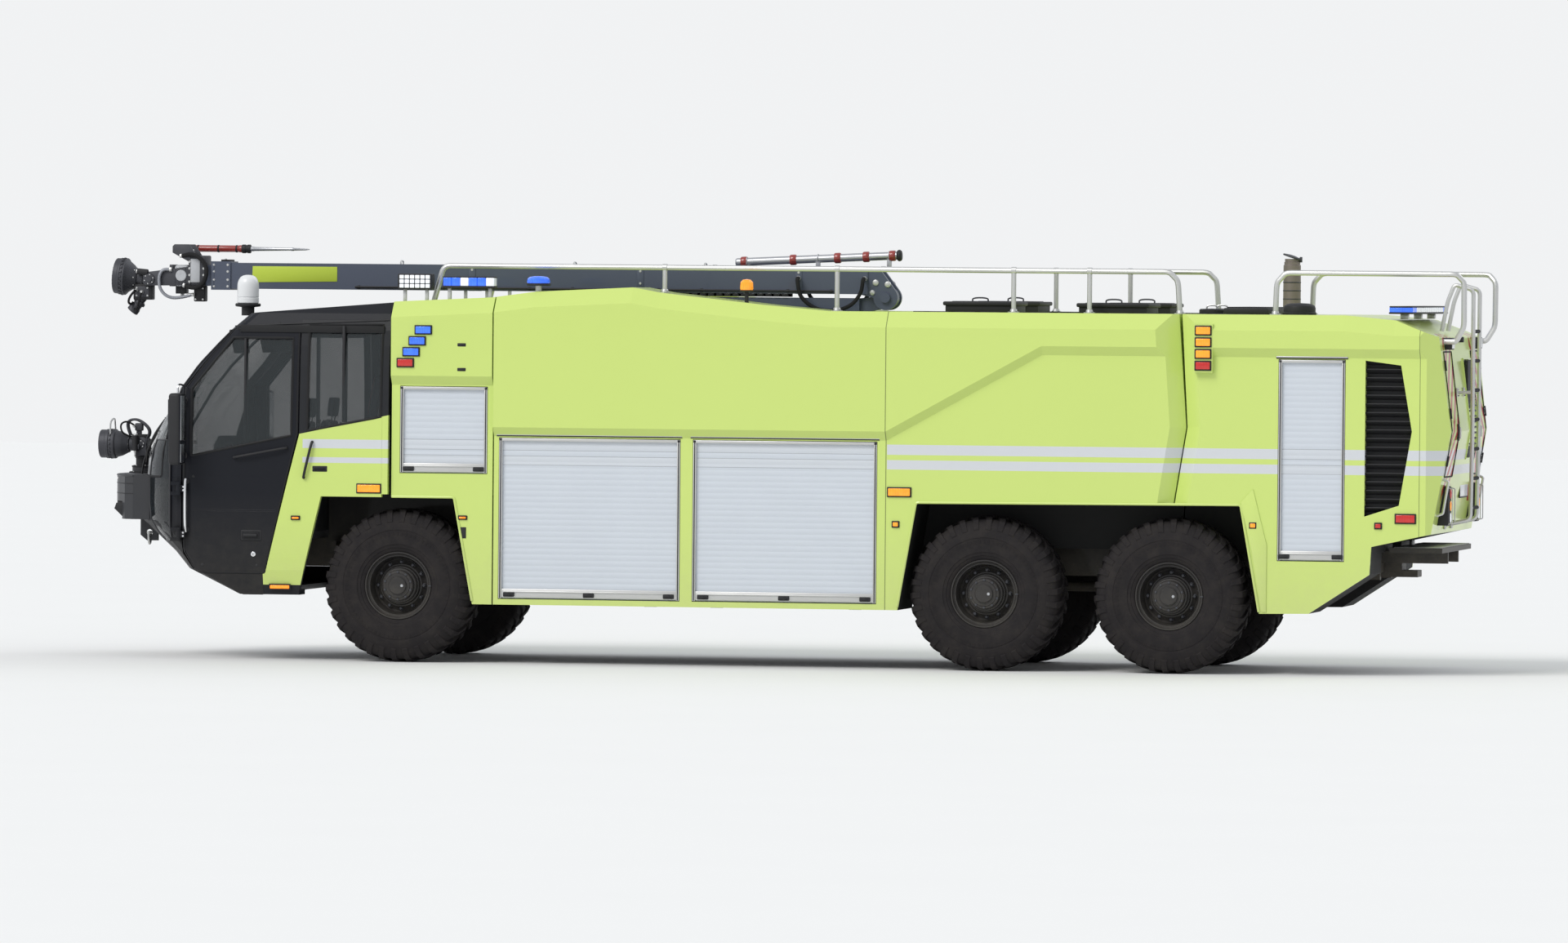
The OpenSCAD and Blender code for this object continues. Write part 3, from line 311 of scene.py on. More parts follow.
# modelling helpers; lengths in metres, x measured rearwards from the front axle

spare = bpy.data.meshes.new("spare")  # passes a shape from one bmesh to another
here = (Matrix.Identity(4),)
up = (0, 0, 1)
shifted = Matrix.Translation


def at(x, y, z):
    return Vector((axleX + x, y, z))


def facing(direction):
    # turns +Z to the direction
    return Vector(direction).to_track_quat("Z", "Y").to_matrix().to_4x4()


def pour(form, part, finish=0, places=here):
    bmesh.ops.recalc_face_normals(part, faces=part.faces)
    for face in part.faces:
        face.material_index = finish
    for place in places:
        part.to_mesh(spare)
        spare.transform(place)
        form.from_mesh(spare)
    part.free()


def turns(count, start=0):
    # equal turns round a circle, in radians
    return [2 * pi * (k + start) / count for k in range(count)]


def ring(x, y, z, radius, angles, across="z"):
    # places round a centre, in the plane across an axis
    spots = [(radius * cos(a), radius * sin(a)) for a in angles]
    if across == "x":
        return [at(x, y + u, z + v) for u, v in spots]
    if across == "y":
        return [at(x + u, y, z + v) for u, v in spots]
    return [at(x + u, y + v, z) for u, v in spots]


def turnedBy(centre, axis, angles):
    # one placing for each turn about an axis through the centre
    return [shifted(Vector(centre)) @ facing(axis) @ Matrix.Rotation(a, 4, "Z") for a in angles]


def newVerts(made):
    return [g for g in made if isinstance(g, bmesh.types.BMVert)]


def roundEdges(part, width, segments=2):
    bmesh.ops.bevel(part, geom=part.edges[:], offset=width, offset_type="OFFSET", segments=segments, profile=0.5,
        affect="EDGES", material=-1)


def addBox(form, low, high, bevel=0, finish=0, turn=None, segments=2, places=here):
    low, high = Vector(low), Vector(high)
    part = bmesh.new()
    bmesh.ops.create_cube(part, size=1)
    bmesh.ops.scale(part, vec=[abs(v) for v in high - low], verts=part.verts)
    if bevel:
        roundEdges(part, bevel, segments)
    if turn:
        bmesh.ops.transform(part, matrix=turn, verts=part.verts)
    bmesh.ops.translate(part, vec=(low + high) / 2, verts=part.verts)
    pour(form, part, finish, places)


def boxAt(form, low, high, *rest, **more):
    # a box whose corners are measured from the front axle
    addBox(form, at(*low), at(*high), *rest, **more)


def addBlock(form, spot, low, high, *rest, **more):
    # a box given by how far its corners lie from a spot
    addBox(form, spot + Vector(low), spot + Vector(high), *rest, **more)


def addBoxes(form, rows):
    # rows of low corner, high corner, then bevel and finish
    for row in rows:
        boxAt(form, row[:3], row[3:6], *row[6:])


def addRound(form, centre, axis, profile, steps=24, finish=0, places=here):
    # profile points are (radius, height), spun once round the axis
    part = bmesh.new()
    verts = [part.verts.new((r, 0, h)) for r, h in profile]
    edges = [part.edges.new(pair) for pair in zip(verts, verts[1:])]
    bmesh.ops.spin(part, geom=verts + edges, cent=(0, 0, 0), axis=(0, 0, 1), angle=2 * pi, steps=steps,
        use_merge=True)
    bmesh.ops.remove_doubles(part, verts=part.verts, dist=1e-5)
    bmesh.ops.transform(part, matrix=shifted(Vector(centre)) @ facing(axis), verts=part.verts)
    pour(form, part, finish, places)


def addPlug(form, centre, axis, profile, *rest):
    # the same, its two ends closed straight to the axis
    addRound(form, centre, axis, [(0, profile[0][1]), *profile, (0, profile[-1][1])], *rest)


def addRod(form, first, last, radius, sides=12, finish=0, places=here):
    first, last = Vector(first), Vector(last)
    long = (last - first).length
    edge = min(radius * 0.15, long * 0.3)
    addPlug(form, first, last - first, [(radius - edge, 0), (radius, edge), (radius, long - edge),
        (radius - edge, long)], sides, finish, places)


def smoothLine(points, rounds=3):
    # cuts the corners of a line, its ends stay
    points = [Vector(p) for p in points]
    for _ in range(rounds):
        fresh = [points[0]]
        for a, b in zip(points, points[1:]):
            fresh += [a.lerp(b, 0.25), a.lerp(b, 0.75)]
        points = fresh + [points[-1]]
    return points


def addTube(form, points, radius, sides=8, finish=0, closed=False, smooth=3, places=here):
    # round bar along a smoothed list of points
    points = smoothLine(points, 0 if closed else smooth)
    curve = bpy.data.curves.new("run", "CURVE")
    curve.dimensions, curve.bevel_depth, curve.use_fill_caps = "3D", radius, True
    curve.bevel_resolution = max(1, sides // 4 - 1)
    spline = curve.splines.new("POLY")
    spline.points.add(len(points) - 1)
    for spot, point in zip(spline.points, points):
        spot.co = (*point, 1)
    spline.use_cyclic_u = closed
    holder = bpy.data.objects.new("run", curve)
    part = bmesh.new()
    part.from_mesh(holder.to_mesh())
    holder.to_mesh_clear()
    bpy.data.objects.remove(holder)
    bpy.data.curves.remove(curve)
    bmesh.ops.remove_doubles(part, verts=part.verts, dist=1e-5)
    pour(form, part, finish, places)


def addPrism(form, outline, depth, finish=0, bevel=0):
    # a flat outline pushed along depth
    part = bmesh.new()
    face = part.faces.new([part.verts.new(Vector(p)) for p in outline])
    pushed = bmesh.ops.extrude_face_region(part, geom=[face], use_keep_orig=True)["geom"]
    bmesh.ops.translate(part, vec=depth, verts=newVerts(pushed))
    if bevel:
        bmesh.ops.recalc_face_normals(part, faces=part.faces)
        roundEdges(part, bevel)
    pour(form, part, finish)


def addBolts(form, places, axis, radius=0.012, high=0.008, finish=0):
    addPlug(form, (0, 0, 0), axis, [(radius * 1.5, 0), (radius * 1.5, high * 0.25), (radius, high * 0.3),
        (radius, high)], 6, finish, [shifted(Vector(p)) for p in places])


def flipped(form):
    # moves the shape to the truck's other side
    bmesh.ops.scale(form, vec=(1, -1, 1), verts=form.verts)
    bmesh.ops.reverse_faces(form, faces=form.faces)


def mirrored(form):
    # adds the same shape on the truck's other side
    copy = bmesh.ops.duplicate(form, geom=form.verts[:] + form.edges[:] + form.faces[:])["geom"]
    bmesh.ops.scale(form, vec=(1, -1, 1), verts=newVerts(copy))
    bmesh.ops.reverse_faces(form, faces=[g for g in copy if isinstance(g, bmesh.types.BMFace)])


def piece(name, form, finishes, body="truck", instead=(), sharp=32):
    # makes the object with its finishes and body, in place of the CAD parts named
    mesh = bpy.data.meshes.new(name)
    form.to_mesh(mesh)
    form.free()
    for finish in finishes:
        mesh.materials.append(finish)
    mesh.shade_smooth()
    mesh.set_sharp_from_angle(angle=radians(sharp))
    made = bpy.data.objects.new(name, mesh)
    scene.collection.objects.link(made)
    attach(made, body)
    if instead:
        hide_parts(*instead)
    return made

# roller shutters

# each opening runs from x0 to x1 and from z0 to z1
shutterSet = {"slat": 0.052, "crown": 0.0016, "bar": 0.08, "frame": 0.028, "gap": 0.012, "wall": -1.445,
    "openings": [(0.02, 0.82, 1.69, 2.47), (0.925, 2.575, 0.58, 2.02), (2.685, 4.35, 0.58, 2.02),
    (7.925, 8.52, 1.01, 2.786)]}
wallY, crown = shutterSet["wall"], shutterSet["crown"]

form = bmesh.new()
for x0, x1, z0, z1 in shutterSet["openings"]:
    foot = z0 + shutterSet["gap"]
    low, high = foot + shutterSet["bar"], z1 - shutterSet["gap"]
    count = round((high - low) / shutterSet["slat"])
    step = (high - low) / count
    part = bmesh.new()  # one slat: a crowned face over a small valley
    line = [(0, 0), (0, 0.0045), (-crown * 0.8, 0.012), (-crown, step * 0.5), (-crown * 0.8, step - 0.008),
        (0, step - 0.002), (0, step)]
    verts = [part.verts.new(at(x0 + 0.03, wallY + 0.024 + y, low + z)) for y, z in line]
    edges = [part.edges.new(pair) for pair in zip(verts, verts[1:])]
    grown = bmesh.ops.extrude_edge_only(part, edges=edges)["geom"]
    bmesh.ops.translate(part, vec=(x1 - x0 - 0.06, 0, 0), verts=newVerts(grown))
    for face in part.faces:
        if face.normal.y > 0:
            face.normal_flip()
    for k in range(count):
        part.to_mesh(spare)
        spare.transform(shifted((0, 0, k * step)))
        form.from_mesh(spare)
    part.free()
    boxAt(form, (x0 + 0.006, wallY + 0.026, z0 + 0.006), (x1 - 0.006, wallY + 0.044, z1 - 0.006))  # curtain's back
    # bottom bar with its grip lip
    boxAt(form, (x0 + 0.03, wallY + 0.002, foot), (x1 - 0.03, wallY + 0.026, low), 0.006, 1)
    boxAt(form, (x0 + 0.05, wallY - 0.008, z0 + 0.06), (x1 - 0.05, wallY + 0.004, z0 + 0.074), 0.004, 1)
    # side guides and head
    for x in (x0 + 0.004, x1 - 0.004 - shutterSet["frame"]):
        boxAt(form, (x, wallY - 0.004, z0 + 0.006), (x + shutterSet["frame"], wallY + 0.04, z1 - 0.006), 0.004, 1)
        boxAt(form, (x + 0.009, wallY - 0.0055, z0 + 0.01), (x + 0.019, wallY, z1 - 0.01), 0, 2)
    boxAt(form, (x0 + 0.004, wallY - 0.004, z1 - 0.032), (x1 - 0.004, wallY + 0.04, z1 - 0.006), 0.004, 1)
    # latches: dark blocks with a small turned knob
    for share in ((0.06, 0.5, 0.94) if x1 - x0 > 1 else (0.1, 0.9)):
        x = x0 + (x1 - x0) * share
        boxAt(form, (x - 0.05, wallY - 0.014, z0 + 0.02), (x + 0.05, wallY + 0.006, z0 + 0.062), 0.008, 2)
        addPlug(form, at(x, wallY - 0.012, z0 + 0.041), (0, -1, 0), [(0.017, 0), (0.017, 0.006), (0.013, 0.01)], 16,
            2)
        boxAt(form, (x - 0.028, wallY - 0.026, z0 + 0.036), (x + 0.028, wallY - 0.02, z0 + 0.046), 0.003, 2)
mirrored(form)
piece("rollerShutters", form, [shutterMetal, railMetal, darkPlastic], instead=["shutters"])
print("shutters made")


# wheels

wheelSet = {"outer": 0.685, "lugs": 34, "lugHigh": 0.026, "lugWide": 0.052, "sideBlocks": 72, "nuts": 12,
    "hubBolts": 10, "halfTrack": 1.118, "axles": {"front": 0, "mid": 5.31, "rear": 6.96}}
outer = wheelSet["outer"]


def tyreMesh():
    # carcass turned about its own axle, +Z is the outer side
    part = bmesh.new()
    tread = outer - wheelSet["lugHigh"]
    half = [(0.297, 0.24), (0.305, 0.262), (0.322, 0.276), (0.336, 0.279), (0.34, 0.285), (0.366, 0.291),
        (0.37, 0.296), (0.43, 0.2995), (0.48, 0.3), (0.484, 0.2965), (0.494, 0.2965), (0.498, 0.3), (0.545, 0.296),
        (0.56, 0.288), (0.6, 0.276), (0.628, 0.258), (tread - 0.008, 0.226), (tread, 0.19), (tread + 0.003, 0.09)]
    line = [(r, z) for r, z in half] + [(r, -z) for r, z in reversed(half)]
    verts = [part.verts.new((r, 0, z)) for r, z in line]
    edges = [part.edges.new(pair) for pair in zip(verts, verts[1:])]
    bmesh.ops.spin(part, geom=verts + edges, cent=(0, 0, 0), axis=(0, 0, 1), angle=2 * pi, steps=96, use_merge=True)
    return part


def lugMesh(side):
    # one chevron bar of the tread, its outer end folded down over the shoulder
    part = bmesh.new()
    spots = [(0.018, 0.045, 0.001, 0.03), (0.11, 0, 0, 0.03), (0.2, -0.03, 0.006, 0.03),
        (0.252, -0.038, 0.032, 0.03), (0.272, -0.04, 0.075, 0.024), (0.285, -0.04, 0.112, 0.014)]
    rings = []
    for z, shift, drop, deep in spots:
        corners = []
        for across, down in ((-0.5, 0), (0.5, 0), (0.62, 1), (-0.62, 1)):
            a = (shift + across * wheelSet["lugWide"]) / outer
            r = outer - drop - down * deep
            outward = 0.006 if drop > 0.05 and not down else 0
            corners.append(part.verts.new((r * cos(a), r * sin(a), side * (z + outward))))
        rings.append([part.edges.new((corners[k], corners[(k + 1) % 4])) for k in range(4)])
    for a, b in zip(rings, rings[1:]):
        bmesh.ops.bridge_loops(part, edges=a + b)
    bmesh.ops.holes_fill(part, edges=rings[0] + rings[-1], sides=4)
    return part


for name, x in wheelSet["axles"].items():
    for side, word in ((-1, "left"), (1, "right")):
        centre = at(x, side * wheelSet["halfTrack"], hubZ)
        place = shifted(centre) @ facing((0, side, 0))
        corner = "%s_%s" % (name, word)
        body = "wheel_" + corner
        form = bmesh.new()
        pour(form, tyreMesh(), 0, [place])
        for hand in (-1, 1):
            angles = turns(wheelSet["lugs"], 0.5 if hand > 0 else 0)
            pour(form, lugMesh(hand), 0, turnedBy(centre, (0, side, 0), angles))
        # raised blocks round the sidewall
        block = bmesh.new()
        bmesh.ops.create_cube(block, size=1)
        bmesh.ops.scale(block, vec=(0.03, 0.01, 0.006), verts=block.verts)
        bmesh.ops.translate(block, vec=(0.462, 0, 0.3005), verts=block.verts)
        pour(form, block, 0, turnedBy(centre, (0, side, 0), turns(wheelSet["sideBlocks"])))
        piece("tread_" + corner, form, [tyreRubber], body, ["tyre_" + corner], sharp=28)

        form = bmesh.new()
        # rim barrel, lock ring, dish and stepped hub with its cap
        addRound(form, (0, 0, 0), up, [(0.29, -0.262), (0.3, -0.262), (0.296, -0.24), (0.272, -0.2), (0.262, -0.1),
            (0.262, 0.1), (0.272, 0.17), (0.285, 0.215), (0.296, 0.24), (0.303, 0.262), (0.299, 0.27), (0.289, 0.27),
            (0.283, 0.246), (0.272, 0.236), (0.262, 0.236), (0.256, 0.215), (0.25, 0.15), (0.24, 0.118),
            (0.226, 0.11), (0.205, 0.118), (0.19, 0.135), (0.178, 0.138), (0.176, 0.15), (0.168, 0.16),
            (0.15, 0.163)], 72, 0, [place])
        addRound(form, (0, 0, 0), up, [(0.158, 0.12), (0.158, 0.205), (0.152, 0.213), (0.14, 0.216), (0.138, 0.262),
            (0.131, 0.272), (0.112, 0.276), (0.108, 0.282), (0.082, 0.284), (0.08, 0.3), (0.072, 0.307),
            (0.03, 0.309), (0, 0.309)], 48, 0, [place])
        # wheel nuts on the dish, bolts round the planetary hub
        nut = [(0, 0), (0.021, 0), (0.021, 0.006), (0.016, 0.008), (0.016, 0.026), (0.012, 0.031), (0, 0.031)]
        spins = turnedBy(centre, (0, side, 0), turns(wheelSet["nuts"]))
        addRound(form, (0, 0, 0), up, nut, 6, 1, [spin @ shifted((0.208, 0, 0.114)) for spin in spins])
        cap = [(0, 0), (0.011, 0), (0.011, 0.01), (0, 0.011)]
        spins = turnedBy(centre, (0, side, 0), turns(wheelSet["hubBolts"], 0.5))
        addRound(form, (0, 0, 0), up, cap, 6, 1, [spin @ shifted((0.122, 0, 0.273)) for spin in spins])
        # drain plug, valve stem and the lock ring's gap
        addRound(form, (0.045, 0, 0.307), up, [(0, 0), (0.014, 0), (0.014, 0.008), (0, 0.009)], 6, 2, [place])
        addTube(form, [(0.235, 0.05, 0.116), (0.245, 0.052, 0.17), (0.262, 0.055, 0.232)], 0.006, 8, 2,
            places=[place])
        addBox(form, (0.278, -0.006, 0.236), (0.305, 0.006, 0.275), 0.002, 1, places=[place])
        piece("wheelDisc_" + corner, form, [rimPaint, turretMetal, pipeMetal], body, ["rim_" + corner],
            sharp=30)
print("wheels made")

# side lamps; rows give x, z, length, height and the wall they sit on
lampSet = {"bezel": 0.012, "proud": 0.024, "markerProud": 0.014, "amber": [(-0.25, 1.55, 0.23, 0.09, -1.4822),
    (4.55, 1.575, 0.22, 0.09, -1.4452), (4.52, 1.29, 0.07, 0.06, -1.4452),
    (7.71, 1.32, 0.07, 0.06, -1.4452)] + [(7.262, z, 0.15, 0.088, -1.5002) for z in (3.03, 2.927, 2.824)],
    "blue": [(x, z, 0.16, 0.085, -1.5002) for x, z in ((0.24, 2.97), (0.185, 2.872), (0.13, 2.774))],
    "red": [(0.078, 2.676, 0.16, 0.085, -1.5002), (7.262, 2.721, 0.15, 0.088, -1.5002),
    (9.06, 1.395, 0.19, 0.09, -1.4452), (8.82, 1.33, 0.07, 0.06, -1.4452)],
    "markers": [(-0.92, 1.28, 0.085, 0.04, -1.4835), (0.6, 1.3, 0.085, 0.04, -1.4452),
    (-1.07, 0.66, 0.2, 0.055, -1.436)]}


def sideLamp(form, x, z, long, high, wall, proud):
    # moulded bezel with a crowned lens in it, on the left side
    b, left, right, low, top = lampSet["bezel"], x - long / 2, x + long / 2, z - high / 2, z + high / 2
    boxAt(form, (left, wall - 0.01, low), (right, wall, top), 0.004, 1)
    boxAt(form, (left + 0.002, wall - proud * 0.6, low + 0.002), (right - 0.002, wall - 0.006, top - 0.002), 0.005, 1)
    boxAt(form, (left + b, wall - proud, low + b), (right - b, wall - 0.01, top - b), 0.006, segments=3)
    addBolts(form, [at(spot, wall - proud * 0.6, z) for spot in (left + b * 0.55, right - b * 0.55)], (0, -1, 0),
        0.0028, 0.0015, 1)


for colour, lens in (("amber", lensAmber), ("blue", lensBlue), ("red", lensRed)):
    form = bmesh.new()
    for row in lampSet[colour]:
        sideLamp(form, *row, lampSet["proud"])
    mirrored(form)
    piece(colour + "SideLamps", form, [lens, darkPlastic], instead=["side_lamps_" + colour])

# small markers low on the arches and the sill
form = bmesh.new()
for row in lampSet["markers"]:
    sideLamp(form, *row, lampSet["markerProud"])
mirrored(form)
piece("markerLamps", form, [lensAmber, darkPlastic])


# lamps on the roof
roofLampSet = {"barCells": 6, "workCells": 6, "workRows": 3, "y": -1.29, "blueBeacon": 1.24, "amberBeacon": 3.13,
    "rearCells": 16}


def lightBar(form, low, high, cells, lenses, posts):
    # long housing split into lens cells along x
    x0, x1, middle = low[0], high[0], (low[1] + high[1]) / 2
    addBox(form, low, (high[0], high[1], low[2] + 0.022), 0.008)
    addBox(form, (low[0] + 0.004, low[1] + 0.004, high[2] - 0.014), (high[0] - 0.004, high[1] - 0.004, high[2]),
        0.006)
    step = (x1 - x0 - 0.012) / cells
    for k in range(cells):
        a = x0 + 0.006 + k * step
        addBox(form, (a + 0.002, low[1] + 0.003, low[2] + 0.018), (a + step - 0.002, high[1] - 0.003,
            high[2] - 0.01), 0.007, lenses[k % len(lenses)], segments=3)
    for x in posts:
        addBox(form, (x, middle - 0.02, low[2] - 0.15), (x + 0.03, middle + 0.02, low[2] + 0.004), 0.004, 4)
        addBox(form, (x - 0.02, middle - 0.045, low[2] - 0.146), (x + 0.05, middle + 0.045, low[2] - 0.138), 0.002, 4)


form = bmesh.new()  # 0 housing, 1 blue lens, 2 clear lens, 3 amber lens, 4 bright metal
lightBar(form, at(0.37, -1.33, 3.345), at(0.85, -1.2, 3.45), roofLampSet["barCells"], (1, 1, 2),
    [axleX + 0.41, axleX + 0.78])
# work lamp with rows of cells that look out to the side
boxAt(form, (-0.04, -1.322, 3.33), (0.27, -1.18, 3.47), 0.01)
for row in range(roofLampSet["workRows"]):
    for k in range(roofLampSet["workCells"]):
        x, z = -0.022 + k * 0.0475, 3.344 + row * 0.04
        boxAt(form, (x, -1.33, z), (x + 0.04, -1.316, z + 0.034), 0.004, 2)
for x in (0, 0.2):
    boxAt(form, (x, -1.27, 3.19), (x + 0.03, -1.24, 3.331), 0.004, 4)
# blue beacon on its stem
x, y = roofLampSet["blueBeacon"], roofLampSet["y"]
addRod(form, at(x, y, 3.215), at(x, y, 3.38), 0.028, 16, 4)
addPlug(form, at(x, y, 3.372), up, [(0.105, 0), (0.11, 0.008), (0.108, 0.022)], 32)
addRound(form, at(x, y, 3.394), up, [(0, 0), (0.1, 0), (0.104, 0.012), (0.098, 0.04), (0.08, 0.056), (0.04, 0.063),
    (0, 0.064)], 32, 1)
mirrored(form)
# amber beacon
x = roofLampSet["amberBeacon"]
addPlug(form, at(x, y, 3.222), up, [(0.05, 0), (0.05, 0.006), (0.018, 0.01), (0.018, 0.11), (0.06, 0.116),
    (0.062, 0.128)])
addRound(form, at(x, y, 3.35), up, [(0, 0), (0.056, 0), (0.06, 0.02), (0.056, 0.07), (0.035, 0.092), (0, 0.098)], 24,
    3)
# bar across the roof's rear, silver cells with blue ends
boxAt(form, (8.862, -1.198, 3.19), (9.078, 1.198, 3.206), 0.006)
boxAt(form, (8.866, -1.194, 3.246), (9.074, 1.194, 3.26), 0.006)
for k in range(roofLampSet["rearCells"]):
    y = -1.19 + k * 0.149
    boxAt(form, (8.866, y, 3.203), (9.074, y + 0.143, 3.25), 0.008, 1 if k in (0, 1, 14, 15) else 2, segments=3)
for y in (-0.9, 0, 0.9):
    boxAt(form, (8.93, y - 0.04, 3.145), (9, y + 0.04, 3.192), 0.004, 4)
piece("roofLamps", form, [darkPlastic, lensBlue, lensClear, lensAmber, railMetal],
    instead=["roof_lamps"])

# camera dome: white canopy on a dark ring
domeSet = {"x": -1.56, "y": -0.7, "foot": 3.08, "bolts": 8}
x, y, z = domeSet["x"], domeSet["y"], domeSet["foot"]
form = bmesh.new()
addRound(form, at(x, y, z), up, [(0.058, 0), (0.058, 0.075), (0.11, 0.082), (0.115, 0.09), (0.115, 0.104),
    (0.108, 0.11), (0, 0.11)], 40, 1)
addRound(form, at(x, y, z + 0.11), up, [(0, 0), (0.09, 0), (0.098, 0.006), (0.098, 0.046), (0.094, 0.05),
    (0.094, 0.056), (0.098, 0.06), (0.098, 0.158), (0.095, 0.185), (0.086, 0.212), (0.07, 0.236), (0.048, 0.25),
    (0.022, 0.256), (0, 0.257)], 40)
addBolts(form, ring(x, y, z + 0.104, 0.1, turns(domeSet["bolts"])), up, 0.006, 0.004, 2)
piece("cameraDome", form, [whitePlastic, darkPlastic, railMetal], instead=["camera_dome"])

# roof hatches: lids with a lip, two hinges and a handle
hatchSet = {"lids": ((4.85, 5.5, 3.27), (6.05, 6.7, 3.265)), "inner": 0.32, "outer": 1.02, "vents": 9}
form = bmesh.new()
for side in (-1, 1):
    for x0, x1, top in hatchSet["lids"]:
        y0, y1 = sorted((side * hatchSet["inner"], side * hatchSet["outer"]))
        addBoxes(form, [
            (x0 + 0.02, y0 + 0.02, 3.172, x1 - 0.02, y1 - 0.02, top - 0.028, 0.006),
            (x0, y0, top - 0.04, x1, y1, top - 0.004, 0.012),
            (x0 + 0.07, y0 + 0.07, top - 0.01, x1 - 0.07, y1 - 0.07, top, 0.006)])
        for x in (x0 + 0.13, x1 - 0.19):
            near, far = (y0 - 0.006, y0 + 0.03) if side > 0 else (y1 - 0.03, y1 + 0.006)
            boxAt(form, (x, near, top - 0.05), (x + 0.06, far, top - 0.012), 0.004, 1)
        middle = (x0 + x1) / 2
        grip = ((-0.07, -0.004), (-0.07, 0.03), (0.07, 0.03), (0.07, -0.004))
        addTube(form, [at(middle + u, side * 0.94, top + v) for u, v in grip], 0.007, 8, 1, smooth=2)
boxAt(form, (7.35, -0.9, 3.172), (7.75, 0.5, 3.23), 0.012)
for k in range(hatchSet["vents"]):
    boxAt(form, (7.375 + k * 0.041, -0.86, 3.222), (7.395 + k * 0.041, 0.46, 3.24), 0.004)
addRound(form, at(8, -0.7, 3.173), up, [(0.15, 0), (0.15, 0.02), (0.142, 0.026), (0.142, 0.062), (0.135, 0.08),
    (0.115, 0.094), (0.08, 0.102), (0, 0.106)], 40)
piece("roofHatches", form, [darkPlastic, turretMetal], instead=["roof_boxes"])

# exhaust: outer shield with bands, inner pipe, hinged flap
exhaustSet = {"x": 7.7, "y": 0.9, "foot": 3.172, "bands": 5}
x, y, z = exhaustSet["x"], exhaustSet["y"], exhaustSet["foot"]
form = bmesh.new()
addRound(form, at(x, y, z), up, [(0.11, 0), (0.11, 0.008), (0.08, 0.01), (0.078, 0.44), (0.072, 0.446),
    (0.072, 0.47), (0.066, 0.474), (0.066, 0.5), (0.06, 0.5), (0.06, 0.38), (0, 0.38)], 36)
for k in range(exhaustSet["bands"]):
    addRound(form, at(x, y, z + 0.063 + k * 0.075), up, [(0.0785, -0.006), (0.083, 0), (0.0785, 0.006)], 36, 1)
addPlug(form, at(x, y, z + 0.516), (0.31, 0, 0.95), [(0.084, -0.006), (0.088, 0), (0.084, 0.008), (0.03, 0.016)], 32,
    1)
boxAt(form, (7.768, 0.88, 3.64), (7.79, 0.92, 3.69), 0.004, 1)
piece("exhaustPipe", form, [exhaustMetal, turretMetal], instead=["exhaust_stack"])
print("lamps and roof equipment made")

# boom head, nozzle, lance and their hoses

hoseCord = rubberFinish("hoseRubber", (0.016, 0.016, 0.017), (0.05, 0.048, 0.046), 0.25)
braidMetal = metalFinish("braidedHose", (0.42, 0.43, 0.46), (0.26, 0.27, 0.3), 0.45, 0.7, (60, 60, 60))
labelLime = paintFinish("labelLime", (0.485, 0.61, 0.045), (0.42, 0.54, 0.04), 0.45, 0.1, 0)
greyCasting = plasticFinish("greyCasting", (0.5, 0.51, 0.53), (0.4, 0.41, 0.43), 0.48, 60, 0.06)


def hose(name, route, radius, body, finish):
    # a hose as a round tube along the smoothed route, from one end to the other
    line = smoothLine([at(*spot) for spot in route])
    form = bmesh.new()
    addTube(form, line, radius, 16, smooth=0)
    made = piece(name, form, [finish], body=body)
    long = sum((b - a).length for a, b in zip(line, line[1:]))


def fitting(form, place, axis, radius, finish=0):
    # hexagon nut and ferrule where a hose ends
    axis = Vector(axis).normalized()
    addPlug(form, place, axis, [(radius * 1.55, -0.012), (radius * 1.7, -0.008), (radius * 1.7, 0.01),
        (radius * 1.5, 0.014)], 6, finish)
    addPlug(form, place + axis * 0.012, axis, [(radius * 1.25, 0), (radius * 1.25, 0.034), (radius * 1.1, 0.038)],
        16, finish)


# head: flange, actuator, cheek plates and the nozzle's fork
headSet = {"actuatorX": -2.33, "actuatorZ": 3.435, "ribs": 4, "pivotX": -2.63, "pivotZ": 3.4}
sixBolts = [0.3 + 1.05 * k for k in range(6)]
pivotX, pivotZ = headSet["pivotX"], headSet["pivotZ"]
form = bmesh.new()  # 0 dark metal, 1 grey casting, 2 bright metal, 3 black plastic
boxAt(form, (-2.258, -0.118, 3.342), (-2.102, 0.118, 3.618), 0.012)
for x in (-2.256, -2.124):
    boxAt(form, (x, -0.126, 3.35), (x + 0.018, 0.126, 3.61), 0.004)
for side in (-1, 1):
    addBolts(form, [at(x, side * 0.1255, z) for x in (-2.247, -2.115) for z in (3.38, 3.44, 3.5, 3.56)],
        (0, side, 0), 0.008, 0.007, 2)
boxAt(form, (-2.222, -0.06, 3.2), (-2.12, 0.06, 3.345), 0.01, 3)
addBolts(form, [at(x, -0.061, z) for x in (-2.205, -2.137) for z in (3.22, 3.32)], (0, -1, 0), 0.006, 0.005, 2)
